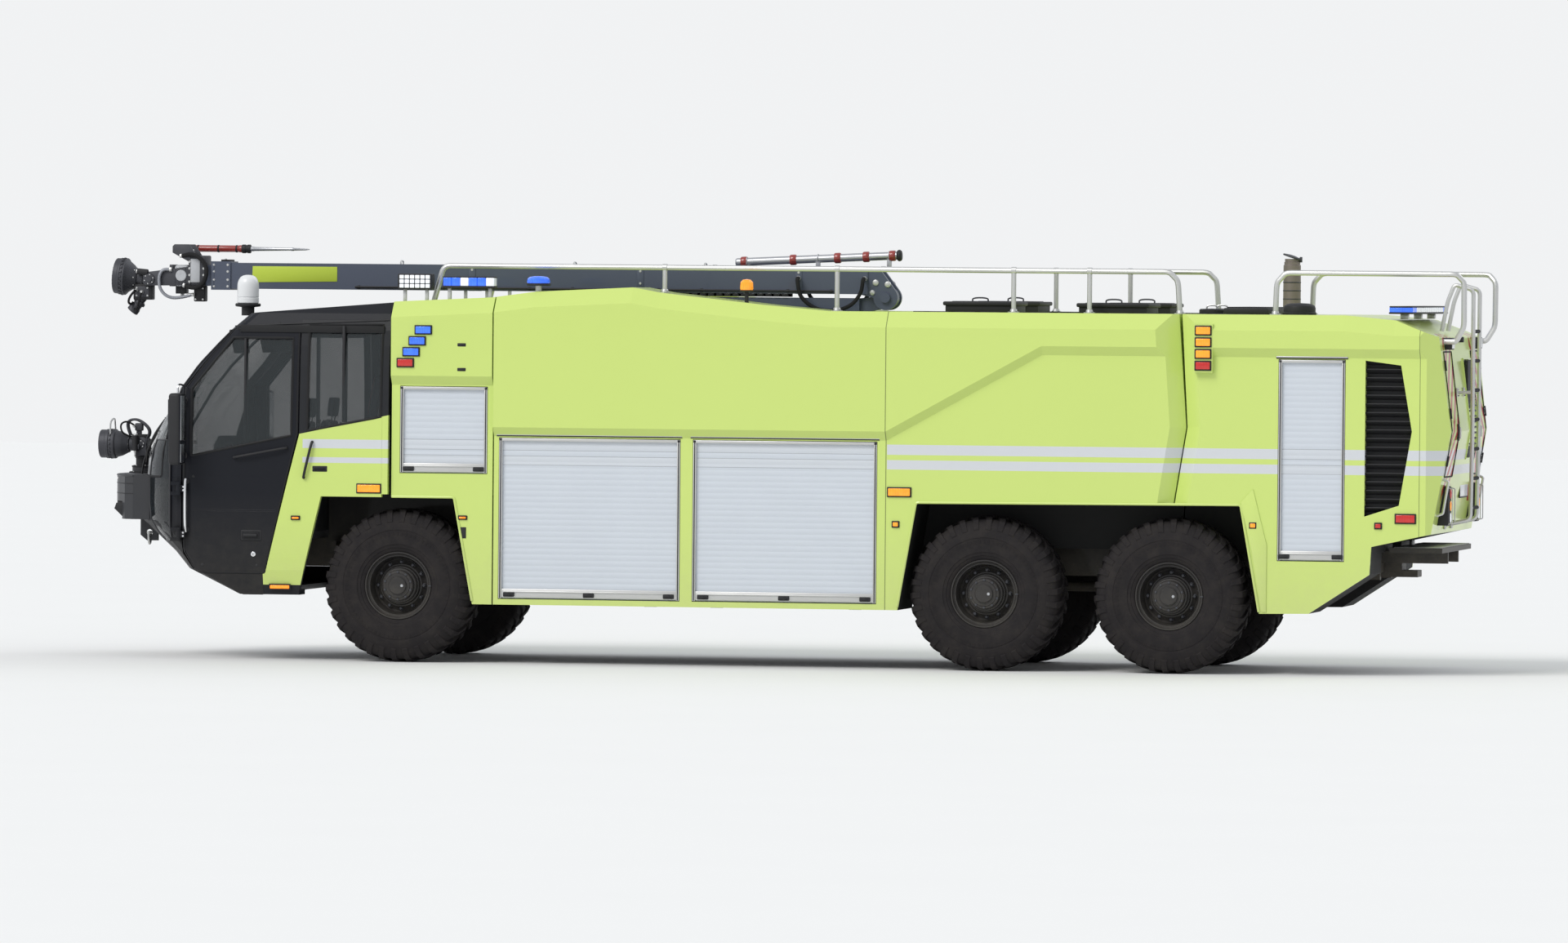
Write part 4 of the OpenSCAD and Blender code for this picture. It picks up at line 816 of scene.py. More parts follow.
# actuator: rounded casting with ribs and a round cover
boxAt(form, (-2.4, -0.103, 3.338), (-2.262, 0.103, 3.532), 0.034, 1, segments=4)
boxAt(form, (-2.252, -0.1235, 3.372), (-2.15, 0.1235, 3.59), 0.01, 1)
for k in range(headSet["ribs"]):
    boxAt(form, (-2.385 + k * 0.031, -0.1055, 3.356), (-2.378 + k * 0.031, 0.1055, 3.514), 0.002, 1)
boxAt(form, (-2.44, -0.104, 3.336), (-2.404, 0.104, 3.534), 0.006)
for side in (-1, 1):
    x, z = headSet["actuatorX"], headSet["actuatorZ"]
    addRound(form, at(x, side * 0.103, z), (0, side, 0), [(0, 0), (0.05, 0), (0.052, 0.004), (0.048, 0.012),
        (0.012, 0.014), (0, 0.01)], 28, 1)
    addBolts(form, ring(x, side * 0.113, z, 0.042, [a + 0.2 for a in sixBolts], "y"), (0, side, 0), 0.004, 0.004, 2)
    # cheek plates of the lance and fork of the nozzle
    addPrism(form, [at(x, side * 0.0955, z) for x, z in ((-2.409, 3.642), (-2.409, 3.7), (-2.39, 3.719),
        (-2.252, 3.719), (-2.152, 3.562), (-2.258, 3.562))], (0, side * 0.022, 0), 0, 0.003)
    addPrism(form, [at(x, side * 0.0805, z) for x, z in ((-2.665, 3.342), (-2.689, 3.366), (-2.689, 3.44),
        (-2.672, 3.462), (-2.252, 3.518), (-2.252, 3.348), (-2.33, 3.346), (-2.575, 3.342))], (0, side * 0.025, 0),
        0, 0.003)
    addPlug(form, at(pivotX, side * 0.1045, pivotZ), (0, side, 0), [(0.052, 0), (0.054, 0.004), (0.05, 0.012),
        (0.026, 0.014), (0.026, 0.022)], 28)
    addBolts(form, ring(pivotX, side * 0.116, pivotZ, 0.04, sixBolts, "y"), (0, side, 0), 0.005, 0.004, 2)
# control box and lamp over the plates, cable glands
boxAt(form, (-2.405, -0.093, 3.64), (-2.26, 0.04, 3.69), 0.008, 3)
boxAt(form, (-2.38, -0.075, 3.688), (-2.29, 0.02, 3.716), 0.01, 3)
for y in (-0.07, -0.03, 0.01):
    addRod(form, at(-2.262, y, 3.664), at(-2.238, y, 3.664), 0.009, 12, 2)
# junction and valve block under the actuator
boxAt(form, (-2.395, -0.05, 3.27), (-2.3, 0.07, 3.34), 0.006, 3)
for y in (-0.03, 0.01, 0.05):
    addRod(form, at(-2.345, y, 3.272), at(-2.345, y, 3.245), 0.008, 10, 2)
addRod(form, at(-2.37, 0.1185, 3.682), at(-2.37, 0.09, 3.682), 0.034, 24)
for place, axis in ((at(-2.33, -0.108, 3.612), (1, 0, 0.1)), (at(-2.3, -0.108, 3.346), (1, 0, -0.2)),
        (at(-2.425, -0.112, 3.49), (-1, 0, 0)), (at(-2.222, -0.066, 3.262), (-1, 0, 0)),
        (at(-2.3, 0.112, 3.56), (1, 0, 0)), (at(-2.29, 0.11, 3.38), (1, 0, 0))):
    fitting(form, place, axis, 0.012, 2)
piece("boomHeadGear", form, [turretMetal, greyCasting, railMetal, darkPlastic], body="inner_boom",
    instead=["nozzle_head"])
hose("headLoopHose", [(-2.318, -0.108, 3.613), (-2.2, -0.15, 3.635), (-2.095, -0.172, 3.56), (-2.07, -0.176, 3.46),
    (-2.11, -0.17, 3.35), (-2.2, -0.15, 3.318), (-2.288, -0.108, 3.344)], 0.02, "inner_boom", hoseCord)
hose("headBraidHose", [(-2.437, -0.112, 3.49), (-2.5, -0.125, 3.49), (-2.535, -0.132, 3.42), (-2.52, -0.13, 3.3),
    (-2.44, -0.11, 3.23), (-2.33, -0.08, 3.235), (-2.236, -0.066, 3.262)], 0.015, "inner_boom", braidMetal)
hose("headRightHose", [(-2.288, 0.112, 3.56), (-2.2, 0.15, 3.58), (-2.11, 0.17, 3.52), (-2.1, 0.17, 3.42),
    (-2.18, 0.15, 3.36), (-2.278, 0.11, 3.378)], 0.011, "inner_boom", hoseCord)

# boom nozzle, tilted up a little as in the photograph
nozzleSet = {"tilt": 5, "teeth": 24, "lowerTilt": 40, "lowerRibs": 12, "bolts": 8}
tilt, lowerTilt = radians(nozzleSet["tilt"]), radians(nozzleSet["lowerTilt"])
pivot, aim = at(pivotX, 0, pivotZ), Vector((-cos(tilt), 0, sin(tilt)))
form = bmesh.new()  # 0 dark metal, 1 black, 2 bright metal, 3 black box
addPlug(form, at(pivotX, -0.0795, pivotZ), (0, 1, 0), [(0.058, 0), (0.06, 0.003), (0.06, 0.156), (0.058, 0.159)], 32)
addPlug(form, pivot, aim, [(0.066, 0), (0.066, 0.07), (0.074, 0.074), (0.074, 0.092), (0.066, 0.096), (0.066, 0.128),
    (0.082, 0.132), (0.086, 0.142), (0.112, 0.17), (0.116, 0.176), (0.148, 0.22), (0.16, 0.226), (0.167, 0.234),
    (0.168, 0.246), (0.162, 0.252), (0.162, 0.268), (0.167, 0.273), (0.167, 0.292), (0.162, 0.297), (0.16, 0.331),
    (0.156, 0.335), (0.138, 0.335), (0.132, 0.326), (0.112, 0.25), (0.1, 0.236)], 56)
addRound(form, pivot, aim, [(0, 0.236), (0.034, 0.236), (0.034, 0.3), (0.074, 0.318), (0.076, 0.324), (0.07, 0.328),
    (0.02, 0.33), (0, 0.331)], 40, 1)
# teeth round the bell's mouth and ribs round its grip
for place in turnedBy(pivot, aim, turns(nozzleSet["teeth"])):
    addBox(form, (0.126, -0.006, 0.322), (0.152, 0.006, 0.338), 0.003, places=[place])
    addBox(form, (0.1655, -0.008, 0.251), (0.1715, 0.008, 0.271), 0.002, places=[place])
flange = [place @ Vector((0.093, 0, 0.148)) for place in turnedBy(pivot, aim, turns(nozzleSet["bolts"]))]
addBolts(form, flange, aim, 0.006, 0.006, 2)
# lower box and the small nozzle under the bell
boxAt(form, (-2.788, -0.058, 3.212), (-2.612, 0.058, 3.358), 0.01, 3)
boxAt(form, (-2.77, -0.062, 3.235), (-2.64, 0.062, 3.335), 0.006)
addBolts(form, [at(x, -0.0625, z) for x in (-2.755, -2.655) for z in (3.25, 3.32)], (0, -1, 0), 0.006, 0.005, 2)
mouth, down = at(-2.69, 0, 3.25), Vector((-sin(lowerTilt), 0, -cos(lowerTilt)))
addPlug(form, mouth, down, [(0.036, 0), (0.036, 0.06), (0.05, 0.066), (0.053, 0.074), (0.053, 0.094), (0.044, 0.1),
    (0.044, 0.126), (0.054, 0.15), (0.055, 0.184), (0.05, 0.189), (0.042, 0.186), (0.036, 0.15)], 36)
for place in turnedBy(mouth, down, turns(nozzleSet["lowerRibs"])):
    addBox(form, (-0.003, -0.003, -0.01), (0.003, 0.003, 0.01), 0.001, places=[place @ shifted((0.0545, 0, 0.084))])
# motor on the side of the barrel and its bracket
addRod(form, at(-2.74, -0.098, 3.47), at(-2.64, -0.098, 3.461), 0.028, 24, 3)
addRod(form, at(-2.752, -0.098, 3.471), at(-2.738, -0.098, 3.47), 0.02, 16, 2)
boxAt(form, (-2.72, -0.09, 3.44), (-2.66, -0.05, 3.478), 0.004)
for place, axis in ((at(-2.752, -0.066, 3.3), (0, -1, 0)), (at(-2.7, -0.066, 3.285), (0, -1, 0)),
        (at(-2.64, 0.066, 3.3), (0, 1, 0))):
    fitting(form, place, axis, 0.01, 2)
piece("boomNozzleGear", form, [turretMetal, darkPlastic, railMetal, darkPlastic], body="boom_nozzle",
    instead=["boom_nozzle"])
hose("nozzleHoseOne", [(-2.752, -0.068, 3.3), (-2.756, -0.15, 3.29), (-2.8, -0.16, 3.23), (-2.82, -0.11, 3.18),
    (-2.8, -0.06, 3.17), (-2.792, -0.045, 3.19)], 0.011, "boom_nozzle", hoseCord)
hose("nozzleHoseTwo", [(-2.7, -0.068, 3.285), (-2.7, -0.14, 3.26), (-2.72, -0.135, 3.16), (-2.76, -0.08, 3.11),
    (-2.775, -0.052, 3.128)], 0.009, "boom_nozzle", hoseCord)

# piercing lance: red feed tube, black collar, long drilled tip
lanceSet = {"x": -2.37, "y": 0.225, "z": 3.682, "holes": 8, "clips": (0.11, 0.3, 0.47)}
root = at(lanceSet["x"], lanceSet["y"], lanceSet["z"])
form = bmesh.new()  # 0 red, 1 black, 2 steel
addPlug(form, at(lanceSet["x"], 0.1187, lanceSet["z"]), (0, 1, 0), [(0.024, 0), (0.024, 0.07), (0.03, 0.074),
    (0.03, 0.09)], 24, 1)
addPlug(form, root, (1, 0, 0), [(0.026, -0.036), (0.036, -0.026), (0.036, 0.03), (0.031, 0.036), (0.0315, 0.06),
    (0.0315, 0.5), (0.034, 0.504), (0.034, 0.53)], 32)
addPlug(form, root, (1, 0, 0), [(0.037, 0.528), (0.04, 0.534), (0.04, 0.562), (0.036, 0.566), (0.036, 0.578),
    (0.04, 0.582), (0.04, 0.606), (0.036, 0.61)], 32, 1)
addRound(form, root, (1, 0, 0), [(0, 0.606), (0.022, 0.606), (0.021, 0.64), (0.019, 0.646), (0.013, 0.98),
    (0.015, 0.986), (0.015, 1.01), (0.012, 1.016), (0.009, 1.12), (0.004, 1.156), (0, 1.16)], 24, 2)
for k in range(lanceSet["holes"]):
    ends = [root + Vector((1.03 + (k % 2) * 0.03, r * cos(k * 0.785), r * sin(k * 0.785))) for r in (0.01, 0.0122)]
    addRod(form, *ends, 0.0025, 8, 1)
for x in lanceSet["clips"]:
    addRound(form, root, (1, 0, 0), [(0.031, x), (0.034, x + 0.002), (0.034, x + 0.016), (0.031, x + 0.018)], 32, 1)
piece("piercingLance", form, [lanceRed, darkPlastic, pipeMetal], body="piercing_lance",
    instead=["piercing_lance"])

# trim of the upper boom

boomSet = {"label": ((-1.66, 3.38), (-1.655, 3.526), (-0.87, 3.526), (-0.87, 3.392)), "ribs": (0.35, 1.9, 3.35),
    "clamps": 12, "links": 16, "glands": (3.38, 3.985), "hoops": (-1.94, -0.3, 1.3, 2.5)}
form = bmesh.new()  # 0 boom paint, 1 bright metal, 2 blank label, 3 dark, 4 red
for side in (-1, 1):
    addPrism(form, [at(x, side * 0.1355, z) for x, z in boomSet["label"]], (0, side * 0.003, 0), 2, 0.001)
for side in (-1, 1):
    y = side * 0.1475
    addBolts(form, [at(x, y, z) for x in (-2.015, -1.885) for z in (3.34, 3.4, 3.475, 3.535)], (0, side, 0), 0.008,
        0.007, 1)
    boxAt(form, (-2.036, side * 0.132, 3.33), (-2.012, side * 0.152, 3.545), 0.004)
    # side ribs, service rail and clamps
    addTube(form, [at(-0.7, side * 0.147, 3.345), at(3.7, side * 0.147, 3.345)], 0.01, 10, 3, smooth=0)
    for k in range(boomSet["clamps"]):
        x = -0.68 + k * 0.395
        boxAt(form, (x, side * 0.134, 3.33), (x + 0.024, side * 0.15, 3.36), 0.003, 3)
    for x in boomSet["ribs"]:
        boxAt(form, (x, side * 0.134, 3.318), (x + 0.06, side * 0.141, 3.557), 0.003)
        addBolts(form, [at(x + 0.03, side * 0.142, z) for z in (3.4, 3.51)], (0, side, 0), 0.008, 0.006, 1)
    # bright pins and bolts of the elbow
    for x, z, r in ((4.08, 3.425, 0.026), (4.19, 3.41, 0.026), (4.05, 3.335, 0.022), (3.955, 3.405, 0.016)):
        addPlug(form, at(x, side * 0.1205, z), (0, side, 0), [(r, -0.004), (r + 0.004, 0), (r, 0.01),
            (r * 0.5, 0.014)], 20, 1)
    # links of the hose chain under the boom, glands of the elbow hose
    for k in range(boomSet["links"]):
        boxAt(form, (2.1 + k * 0.075, side * 0.085, 3.291), (2.152 + k * 0.075, side * 0.132, 3.3195), 0.004, 3)
    for x in boomSet["glands"]:
        fitting(form, at(x, side * 0.143, 3.46), (0, side, 0), 0.014, 1)
boxAt(form, (-1.96, -0.1, 3.566), (-1.88, 0.1, 3.584), 0.005, 3)
for x in boomSet["hoops"]:
    addTube(form, [at(x, y, z) for y, z in ((-0.05, 3.552), (-0.05, 3.586), (0.05, 3.586), (0.05, 3.552))], 0.007, 8,
        1, smooth=2)
piece("boomTrim", form, [boomPaint, railMetal, labelLime, darkPlastic, lanceRed], body="upper_boom")

elbowRoute = [(3.38, 0.158, 3.46), (3.382, 0.222, 3.458), (3.39, 0.228, 3.4), (3.41, 0.222, 3.29),
    (3.54, 0.212, 3.185), (3.71, 0.21, 3.16), (3.88, 0.212, 3.215), (3.965, 0.222, 3.33), (3.978, 0.228, 3.4),
    (3.983, 0.222, 3.458), (3.985, 0.158, 3.46)]
for side, word in ((-1, "Left"), (1, "Right")):
    hose("elbowHose" + word, [(x, side * y, z) for x, y, z in elbowRoute], 0.018, "upper_boom", hoseCord)

# water pipe with red couplings
pipeSet = {"couplings": (0.03, 0.34, 0.62, 0.8, 0.965), "saddles": (2.85, 3.5, 4.15)}
form = bmesh.new()  # 0 pipe, 1 red, 2 black
first, last = at(2.8, 0.06, 3.6), at(4.25, 0.06, 3.67)
addRod(form, first, last, 0.036, 32)
run = (last - first).normalized()
for share in pipeSet["couplings"]:
    middle = first.lerp(last, share)
    addRound(form, middle, run, [(0.034, -0.03), (0.044, -0.028), (0.048, -0.02), (0.048, 0.02), (0.044, 0.028),
        (0.034, 0.03)], 28, 1)
    for turn in (-1, 1):
        addBlock(form, middle, (-0.02, turn * 0.044 - 0.008, -0.012), (0.02, turn * 0.044 + 0.008, 0.012), 0.003, 1)
addRound(form, last, run, [(0, -0.01), (0.04, -0.01), (0.052, 0.004), (0.052, 0.02), (0.04, 0.034), (0, 0.036)], 28,
    2)
addRound(form, first, -run, [(0, -0.01), (0.036, -0.01), (0.036, 0.02), (0.028, 0.034), (0, 0.036)], 28)
for x in pipeSet["saddles"]:
    top = 3.612 + (x - 2.8) * 0.048
    boxAt(form, (x, 0.042, 3.556), (x + 0.04, 0.078, top - 0.02), 0.004)
    boxAt(form, (x - 0.012, 0.02, 3.556), (x + 0.052, 0.1, 3.564), 0.002)
    strap = ((0.018, -0.036), (0.018, 0.03), (0.102, 0.03), (0.102, -0.036))
    addTube(form, [at(x + 0.02, y, top + z) for y, z in strap], 0.004, smooth=2)
piece("waterPipe", form, [pipeMetal, lanceRed, darkPlastic], body="upper_boom",
    instead=["boom_pipe"])
print("boom head, lance and boom trim made")


# bumper turret

turretSet = {"x": -2.7, "axisZ": 1.9, "teeth": 20, "bolts": 8}
turretX, turretZ = turretSet["x"], turretSet["axisZ"]
form = bmesh.new()  # yoke: 0 dark metal, 1 bright, 2 black
addPlug(form, at(turretX, 0, 1.7905), up, [(0.072, 0), (0.074, 0.003), (0.074, 0.016), (0.07, 0.019)], 36)
for side in (-1, 1):
    addPrism(form, [at(x, side * 0.0785, z) for x, z in ((-2.757, 1.797), (-2.754, 1.94), (-2.732, 1.963),
        (-2.668, 1.963), (-2.646, 1.94), (-2.642, 1.797))], (0, side * 0.021, 0), 0, 0.004)
    boxAt(form, (-2.744, side * 0.052, 1.7965), (-2.656, side * 0.08, 1.834), 0.005)
    addPlug(form, at(turretX, side * 0.098, turretZ), (0, side, 0), [(0.04, 0), (0.042, 0.004), (0.038, 0.01),
        (0.018, 0.012), (0.018, 0.02)])
    addBolts(form, ring(turretX, side * 0.108, turretZ, 0.031, sixBolts, "y"), (0, side, 0), 0.004, 0.004, 1)
# gear motors: tilt on the left cheek, pan behind the foot
addRod(form, at(-2.74, -0.125, 1.84), at(-2.74, -0.125, 1.98), 0.03, 24, 2)
addRod(form, at(-2.74, -0.125, 1.978), at(-2.74, -0.125, 1.994), 0.022, 16, 1)
boxAt(form, (-2.768, -0.14, 1.85), (-2.7, -0.099, 1.9), 0.008)
boxAt(form, (-2.735, 0.099, 1.83), (-2.66, 0.14, 1.88), 0.008, 2)
fitting(form, at(-2.74, -0.13, 1.836), (0, 0, -1), 0.008, 1)
piece("turretYokeGear", form, [turretMetal, railMetal, darkPlastic], body="bumper_turret",
    instead=["turret_yoke"])

form = bmesh.new()  # nozzle: 0 dark metal, 1 bright, 2 black
root, aim = at(turretX, 0, turretZ), Vector((-1, 0, 0))
addPlug(form, at(turretX, -0.0775, turretZ), (0, 1, 0), [(0.056, 0), (0.058, 0.003), (0.058, 0.152), (0.056, 0.155)],
    32)
addPlug(form, root, aim, [(0.056, -0.055), (0.062, -0.048), (0.062, 0.06), (0.07, 0.064), (0.07, 0.08),
    (0.062, 0.084), (0.062, 0.118), (0.076, 0.122), (0.08, 0.134), (0.104, 0.18), (0.108, 0.188), (0.122, 0.24),
    (0.132, 0.246), (0.135, 0.254), (0.135, 0.272), (0.129, 0.277), (0.129, 0.3), (0.134, 0.305), (0.133, 0.33),
    (0.128, 0.336), (0.128, 0.384), (0.124, 0.389), (0.108, 0.389), (0.102, 0.38), (0.086, 0.29)], 52)
addRound(form, root, aim, [(0, 0.289), (0.028, 0.289), (0.028, 0.352), (0.06, 0.372), (0.062, 0.378), (0.054, 0.383),
    (0, 0.385)], 36, 2)
for spin in turnedBy(root, aim, turns(turretSet["teeth"])):
    addBox(form, (-0.011, -0.005, -0.008), (0.011, 0.005, 0.008), 0.002, places=[spin @ shifted((0.11, 0, 0.382))])
    addBox(form, (-0.003, -0.007, -0.009), (0.003, 0.007, 0.009), 0.001, places=[spin @ shifted((0.1335, 0, 0.288))])
flange = [place @ Vector((0.072, 0, 0.124)) for place in turnedBy(root, aim, turns(turretSet["bolts"]))]
addBolts(form, flange, aim, 0.005, 0.005, 1)
# bent feed pipes and bail over the barrel
feedRoute = [(-2.805, 1.955), (-2.845, 2.06), (-2.835, 2.112), (-2.77, 2.128), (-2.7, 2.098), (-2.64, 2.04),
    (-2.636, 1.99), (-2.665, 1.945)]
for y in (-0.024, 0.024):
    addTube(form, [at(x, y, z) for x, z in feedRoute], 0.011, 12)
addBoxes(form, [
    (-2.8, -0.034, 1.945, -2.66, 0.034, 1.99, 0.008, 2),
    (-2.77, -0.034, 2.02, -2.7, 0.034, 2.09, 0.01),
    (-2.76, -0.012, 1.985, -2.712, 0.012, 2.025, 0.003)])
addTube(form, [at(-2.98, -0.1, 1.99), at(-2.985, -0.09, 2.09), at(-2.975, -0.04, 2.128), at(-2.975, 0.04, 2.128),
    at(-2.985, 0.09, 2.09), at(-2.98, 0.1, 1.99)], 0.008, 10, 1)
fitting(form, at(-2.79, -0.038, 1.968), (0, -1, 0), 0.008, 1)
fitting(form, at(-2.768, -0.036, 2.06), (0, -1, 0), 0.008, 1)
piece("turretNozzleGear", form, [turretMetal, railMetal, darkPlastic], body="bumper_nozzle",
    instead=["turret_nozzle"])
hose("turretHose", [(-2.79, -0.042, 1.968), (-2.79, -0.12, 1.968), (-2.86, -0.15, 2), (-2.88, -0.14, 2.08),
    (-2.83, -0.11, 2.11), (-2.768, -0.095, 2.08), (-2.768, -0.042, 2.06)], 0.0085, "bumper_nozzle", hoseCord)
print("bumper turret made")

# cab: trim that follows the cab's own surface

# height, front at the middle, start of the curve and half width of the cab
cabLevels = [(0.59, -1.545, -1.43, 1.4), (0.81, -2.08, -1.8, 1.45), (0.96, -2.24, -1.85, 1.465),
    (1.23, -2.6, -1.87, 1.48), (1.64, -2.58, -1.88, 1.49), (1.84, -2.56, -1.88, 1.488), (2.02, -2.47, -1.88, 1.484),
    (2.42, -2.22, -1.865, 1.466), (2.64, -2.04, -1.72, 1.45), (2.82, -1.86, -1.565, 1.43),
    (2.96, -1.7, -1.45, 1.405), (3.11, -1.52, -1.29, 1.345), (3.29, -1.29, -1.09, 1.215)]


def cabLevel(z):
    for low, high in zip(cabLevels, cabLevels[1:]):
        if z <= high[0]:
            t = max(0, (z - low[0]) / (high[0] - low[0]))
            return [a + (b - a) * t for a, b in zip(low[1:], high[1:])]
    return cabLevels[-1][1:]


def onSide(x, z, out=0):
    # point on the cab's left side, pushed out
    front, start, half = cabLevel(z)
    if x >= start:
        return at(x, -(half + out), z)
    c = min(1, (start - x) / (start - front))
    return at(x - out * c, -(half + out) * sqrt(max(0, 1 - c * c)), z)


def onFront(y, z, out=0):
    front, start, half = cabLevel(z)
    s = min(1, abs(y) / half)
    return at(start - (start - front + out) * sqrt(1 - s * s), y, z)


def along(points, step=0.05):
    # closely spaced points, so that trim can follow a curved surface
    line = []
    for (x0, z0), (x1, z1) in zip(points, points[1:]):
        count = max(1, int(hypot(x1 - x0, z1 - z0) / step))
        line += [(x0 + (x1 - x0) * k / count, z0 + (z1 - z0) * k / count) for k in range(count)]
    return line + [points[-1]]


# outlines of door and windows by x and z, and where the door's fittings sit
doorSet = {"handle": (-1.33, 1.12), "lock": (-1.31, 0.95), "barX": -1.925, "barEnds": (1.15, 1.61), "armX": -1.955,
    "arms": (1.825, 2.315), "hinges": (1.09, 1.5)}
doorLine = [(-1.965, 0.96), (-1.965, 2.43), (-1.53, 2.96), (-0.905, 2.96), (-0.905, 2.03), (-1.215, 0.782),
    (-1.85, 0.782), (-1.965, 0.96)]
doorWindow = [(-1.885, 1.825), (-1.885, 2.425), (-1.515, 2.885), (-0.965, 2.885), (-0.965, 2.015), (-1.885, 1.825)]
rearWindow = [(-0.82, 2.06), (-0.82, 3), (-0.15, 3.01), (-0.15, 2.19), (-0.82, 2.06)]
mirrorGlass = metalFinish("mirrorGlass", (0.8, 0.82, 0.84), (0.74, 0.76, 0.78), 0.03, 1, (1, 1, 1))
chrome = metalFinish("chromeBar", (0.86, 0.86, 0.87), (0.76, 0.76, 0.78), 0.1, 1, (1, 1, 6))

for side, name in ((-1, "left"), (1, "right")):
    form = bmesh.new()  # 0 seal, 1 dark plastic, 2 chrome, 3 mirror glass, 4 black paint
    addTube(form, [onSide(x, z, -0.004) for x, z in along(doorWindow)[:-1]], 0.0125, closed=True)
    joint = [(x * 0.975 - 0.032, z) for x, z in doorLine]
    addTube(form, [onSide(x, z, -0.004) for x, z in along(joint)[:-1]], 0.0085, closed=True)
    # handle: recessed dish with a paddle, and a lock under it
    dish, lock = onSide(*doorSet["handle"]), onSide(*doorSet["lock"])
    addBlock(form, dish, (-0.095, -0.004, -0.05), (0.095, 0.01, 0.05), 0.01, 1, segments=3)
    addBlock(form, dish, (-0.08, -0.007, -0.036), (0.08, 0, 0.036), 0.006, 4)
    addBlock(form, dish, (-0.072, -0.028, -0.014), (0.06, -0.016, 0.014), 0.007, 1, segments=3)
    for dx in (-0.062, 0.05):
        addBlock(form, dish, (dx - 0.008, -0.02, -0.01), (dx + 0.008, 0, 0.01), 0.002, 1)
    addPlug(form, lock, (0, -1, 0), [(0.022, -0.004), (0.022, 0.004), (0.016, 0.008)], 24, 2)
    addBlock(form, lock, (-0.002, -0.011, -0.01), (0.002, -0.007, 0.01), 0, 4)
    # upright chrome grab bar at the front edge
    x, (foot, head) = doorSet["barX"], doorSet["barEnds"]
    addTube(form, [onSide(x, z, out) for z, out in ((foot, -0.004), (foot, 0.042), (head, 0.042), (head, -0.004))],
        0.013, 12, 2)
    for z in (foot + 0.015, head - 0.015):
        addPlug(form, onSide(x, z, -0.004), onSide(x, z, 1) - onSide(x, z),
            [(0.026, 0), (0.026, 0.008), (0.02, 0.012)], 20, 1)
    # pull rail along the window's lower edge, and the window guide
    pull = ((-1, 1.905, -0.004), (-1.01, 1.905, 0.04), (-1.48, 1.815, 0.04), (-1.49, 1.815, -0.004))
    addTube(form, [onSide(*spot) for spot in pull], 0.011, 12, 1)
    foot, head = onSide(-1.4, 2, -0.03), onSide(-1.4, 2.88, -0.03)
    addBox(form, foot + Vector((-0.01, 0, -0.11)), head + Vector((0.01, 0.02, 0)), 0.004, 1)
    # press lines of the lower panel
    for z in (1.33, 1.345):
        addTube(form, [onSide(x, z, -0.0035) for x in (-1.88, -1.5, -1.11)], 0.005, 8, 4, smooth=0)
    for x, z in ((-1.86, 1.64), (-1.78, 0.85), (-1.28, 0.85)):
        addPlug(form, onSide(x, z), (0, -1, 0), [(0.013, -0.003), (0.013, 0.002), (0.009, 0.004)], 16, 1)
    # mirror head: rounded shell, two glasses looking back, arms and clamps
    boxAt(form, (-2.022, -1.8, 1.745), (-1.915, -1.578, 2.385), 0.03, 1, segments=4)
    boxAt(form, (-2.03, -1.772, 1.8), (-2.018, -1.606, 2.33), 0.005, 4)
    boxAt(form, (-1.92, -1.788, 1.955), (-1.9075, -1.59, 2.372), 0.01, 4)
    boxAt(form, (-1.912, -1.78, 1.964), (-1.905, -1.598, 2.364), 0.003, 3)
    boxAt(form, (-1.92, -1.788, 1.758), (-1.9075, -1.59, 1.94), 0.01, 4)
    boxAt(form, (-1.912, -1.78, 1.766), (-1.905, -1.598, 1.932), 0.003, 3)
    x = doorSet["armX"]
    for z in doorSet["arms"]:
        addTube(form, [at(x, -1.6, z), at(x, -1.54, z), onSide(x, z, -0.01)], 0.019, 12, 1, smooth=1)
        boxAt(form, (-1.985, -1.618, z - 0.03), (-1.925, -1.585, z + 0.03), 0.006, 1)
        addPlug(form, onSide(x, z, -0.01), (0, -1, 0), [(0.034, 0), (0.034, 0.014), (0.026, 0.02)], 20, 1)
    addTube(form, [at(-1.96, -1.69, 2.38), at(-1.96, -1.69, 2.44), at(-1.96, -1.66, 2.47),
        onSide(-1.93, 2.44, 0.02)], 0.009, 10, 2)
    # bolts of the hinge leaves
    for z in doorSet["hinges"]:
        addBolts(form, [at(-1.945, -1.5185, z + h) for h in (0.015, 0.045)], (0, -1, 0), 0.006, 0.005, 2)
    if side > 0:
        flipped(form)
    piece(name + "DoorTrim", form, [softBlack, darkPlastic, chrome, mirrorGlass, blackPaint], body="door_" + name)

# fixed trim of the cab, on both sides
cabSet = {"gutterScrews": (-1.43, -1.1, -0.7, -0.3), "treads": 4, "wiperY": 0.62, "wiperFoot": 1.585,
    "bladeSteps": 16, "pillars": (-0.46, 0.46), "grilleRows": 4}
form = bmesh.new()  # 0 seal, 1 dark plastic, 2 chrome, 3 black paint
addTube(form, [onSide(x, z, -0.004) for x, z in along(rearWindow)[:-1]], 0.0125, closed=True)
foot, head = onSide(-0.5, 2.14, -0.03), onSide(-0.5, 3, -0.03)
addBox(form, foot + Vector((-0.012, 0, 0)), head + Vector((0.012, 0.03, 0)), 0.004, 1)
# grab rail and step light of the quarter panel
rail = ((-0.845, 1.64, -0.004), (-0.845, 1.64, 0.035), (-0.77, 1.96, 0.035), (-0.77, 1.96, -0.004))
addTube(form, [onSide(*spot) for spot in rail], 0.012, 12, 1)
dish = onSide(-0.7, 1.72)
addBlock(form, dish, (-0.07, -0.003, -0.028), (0.07, 0.01, 0.028), 0.008, 1, segments=3)
addBlock(form, dish, (-0.052, -0.016, -0.009), (0.052, -0.008, 0.009), 0.004, 3)
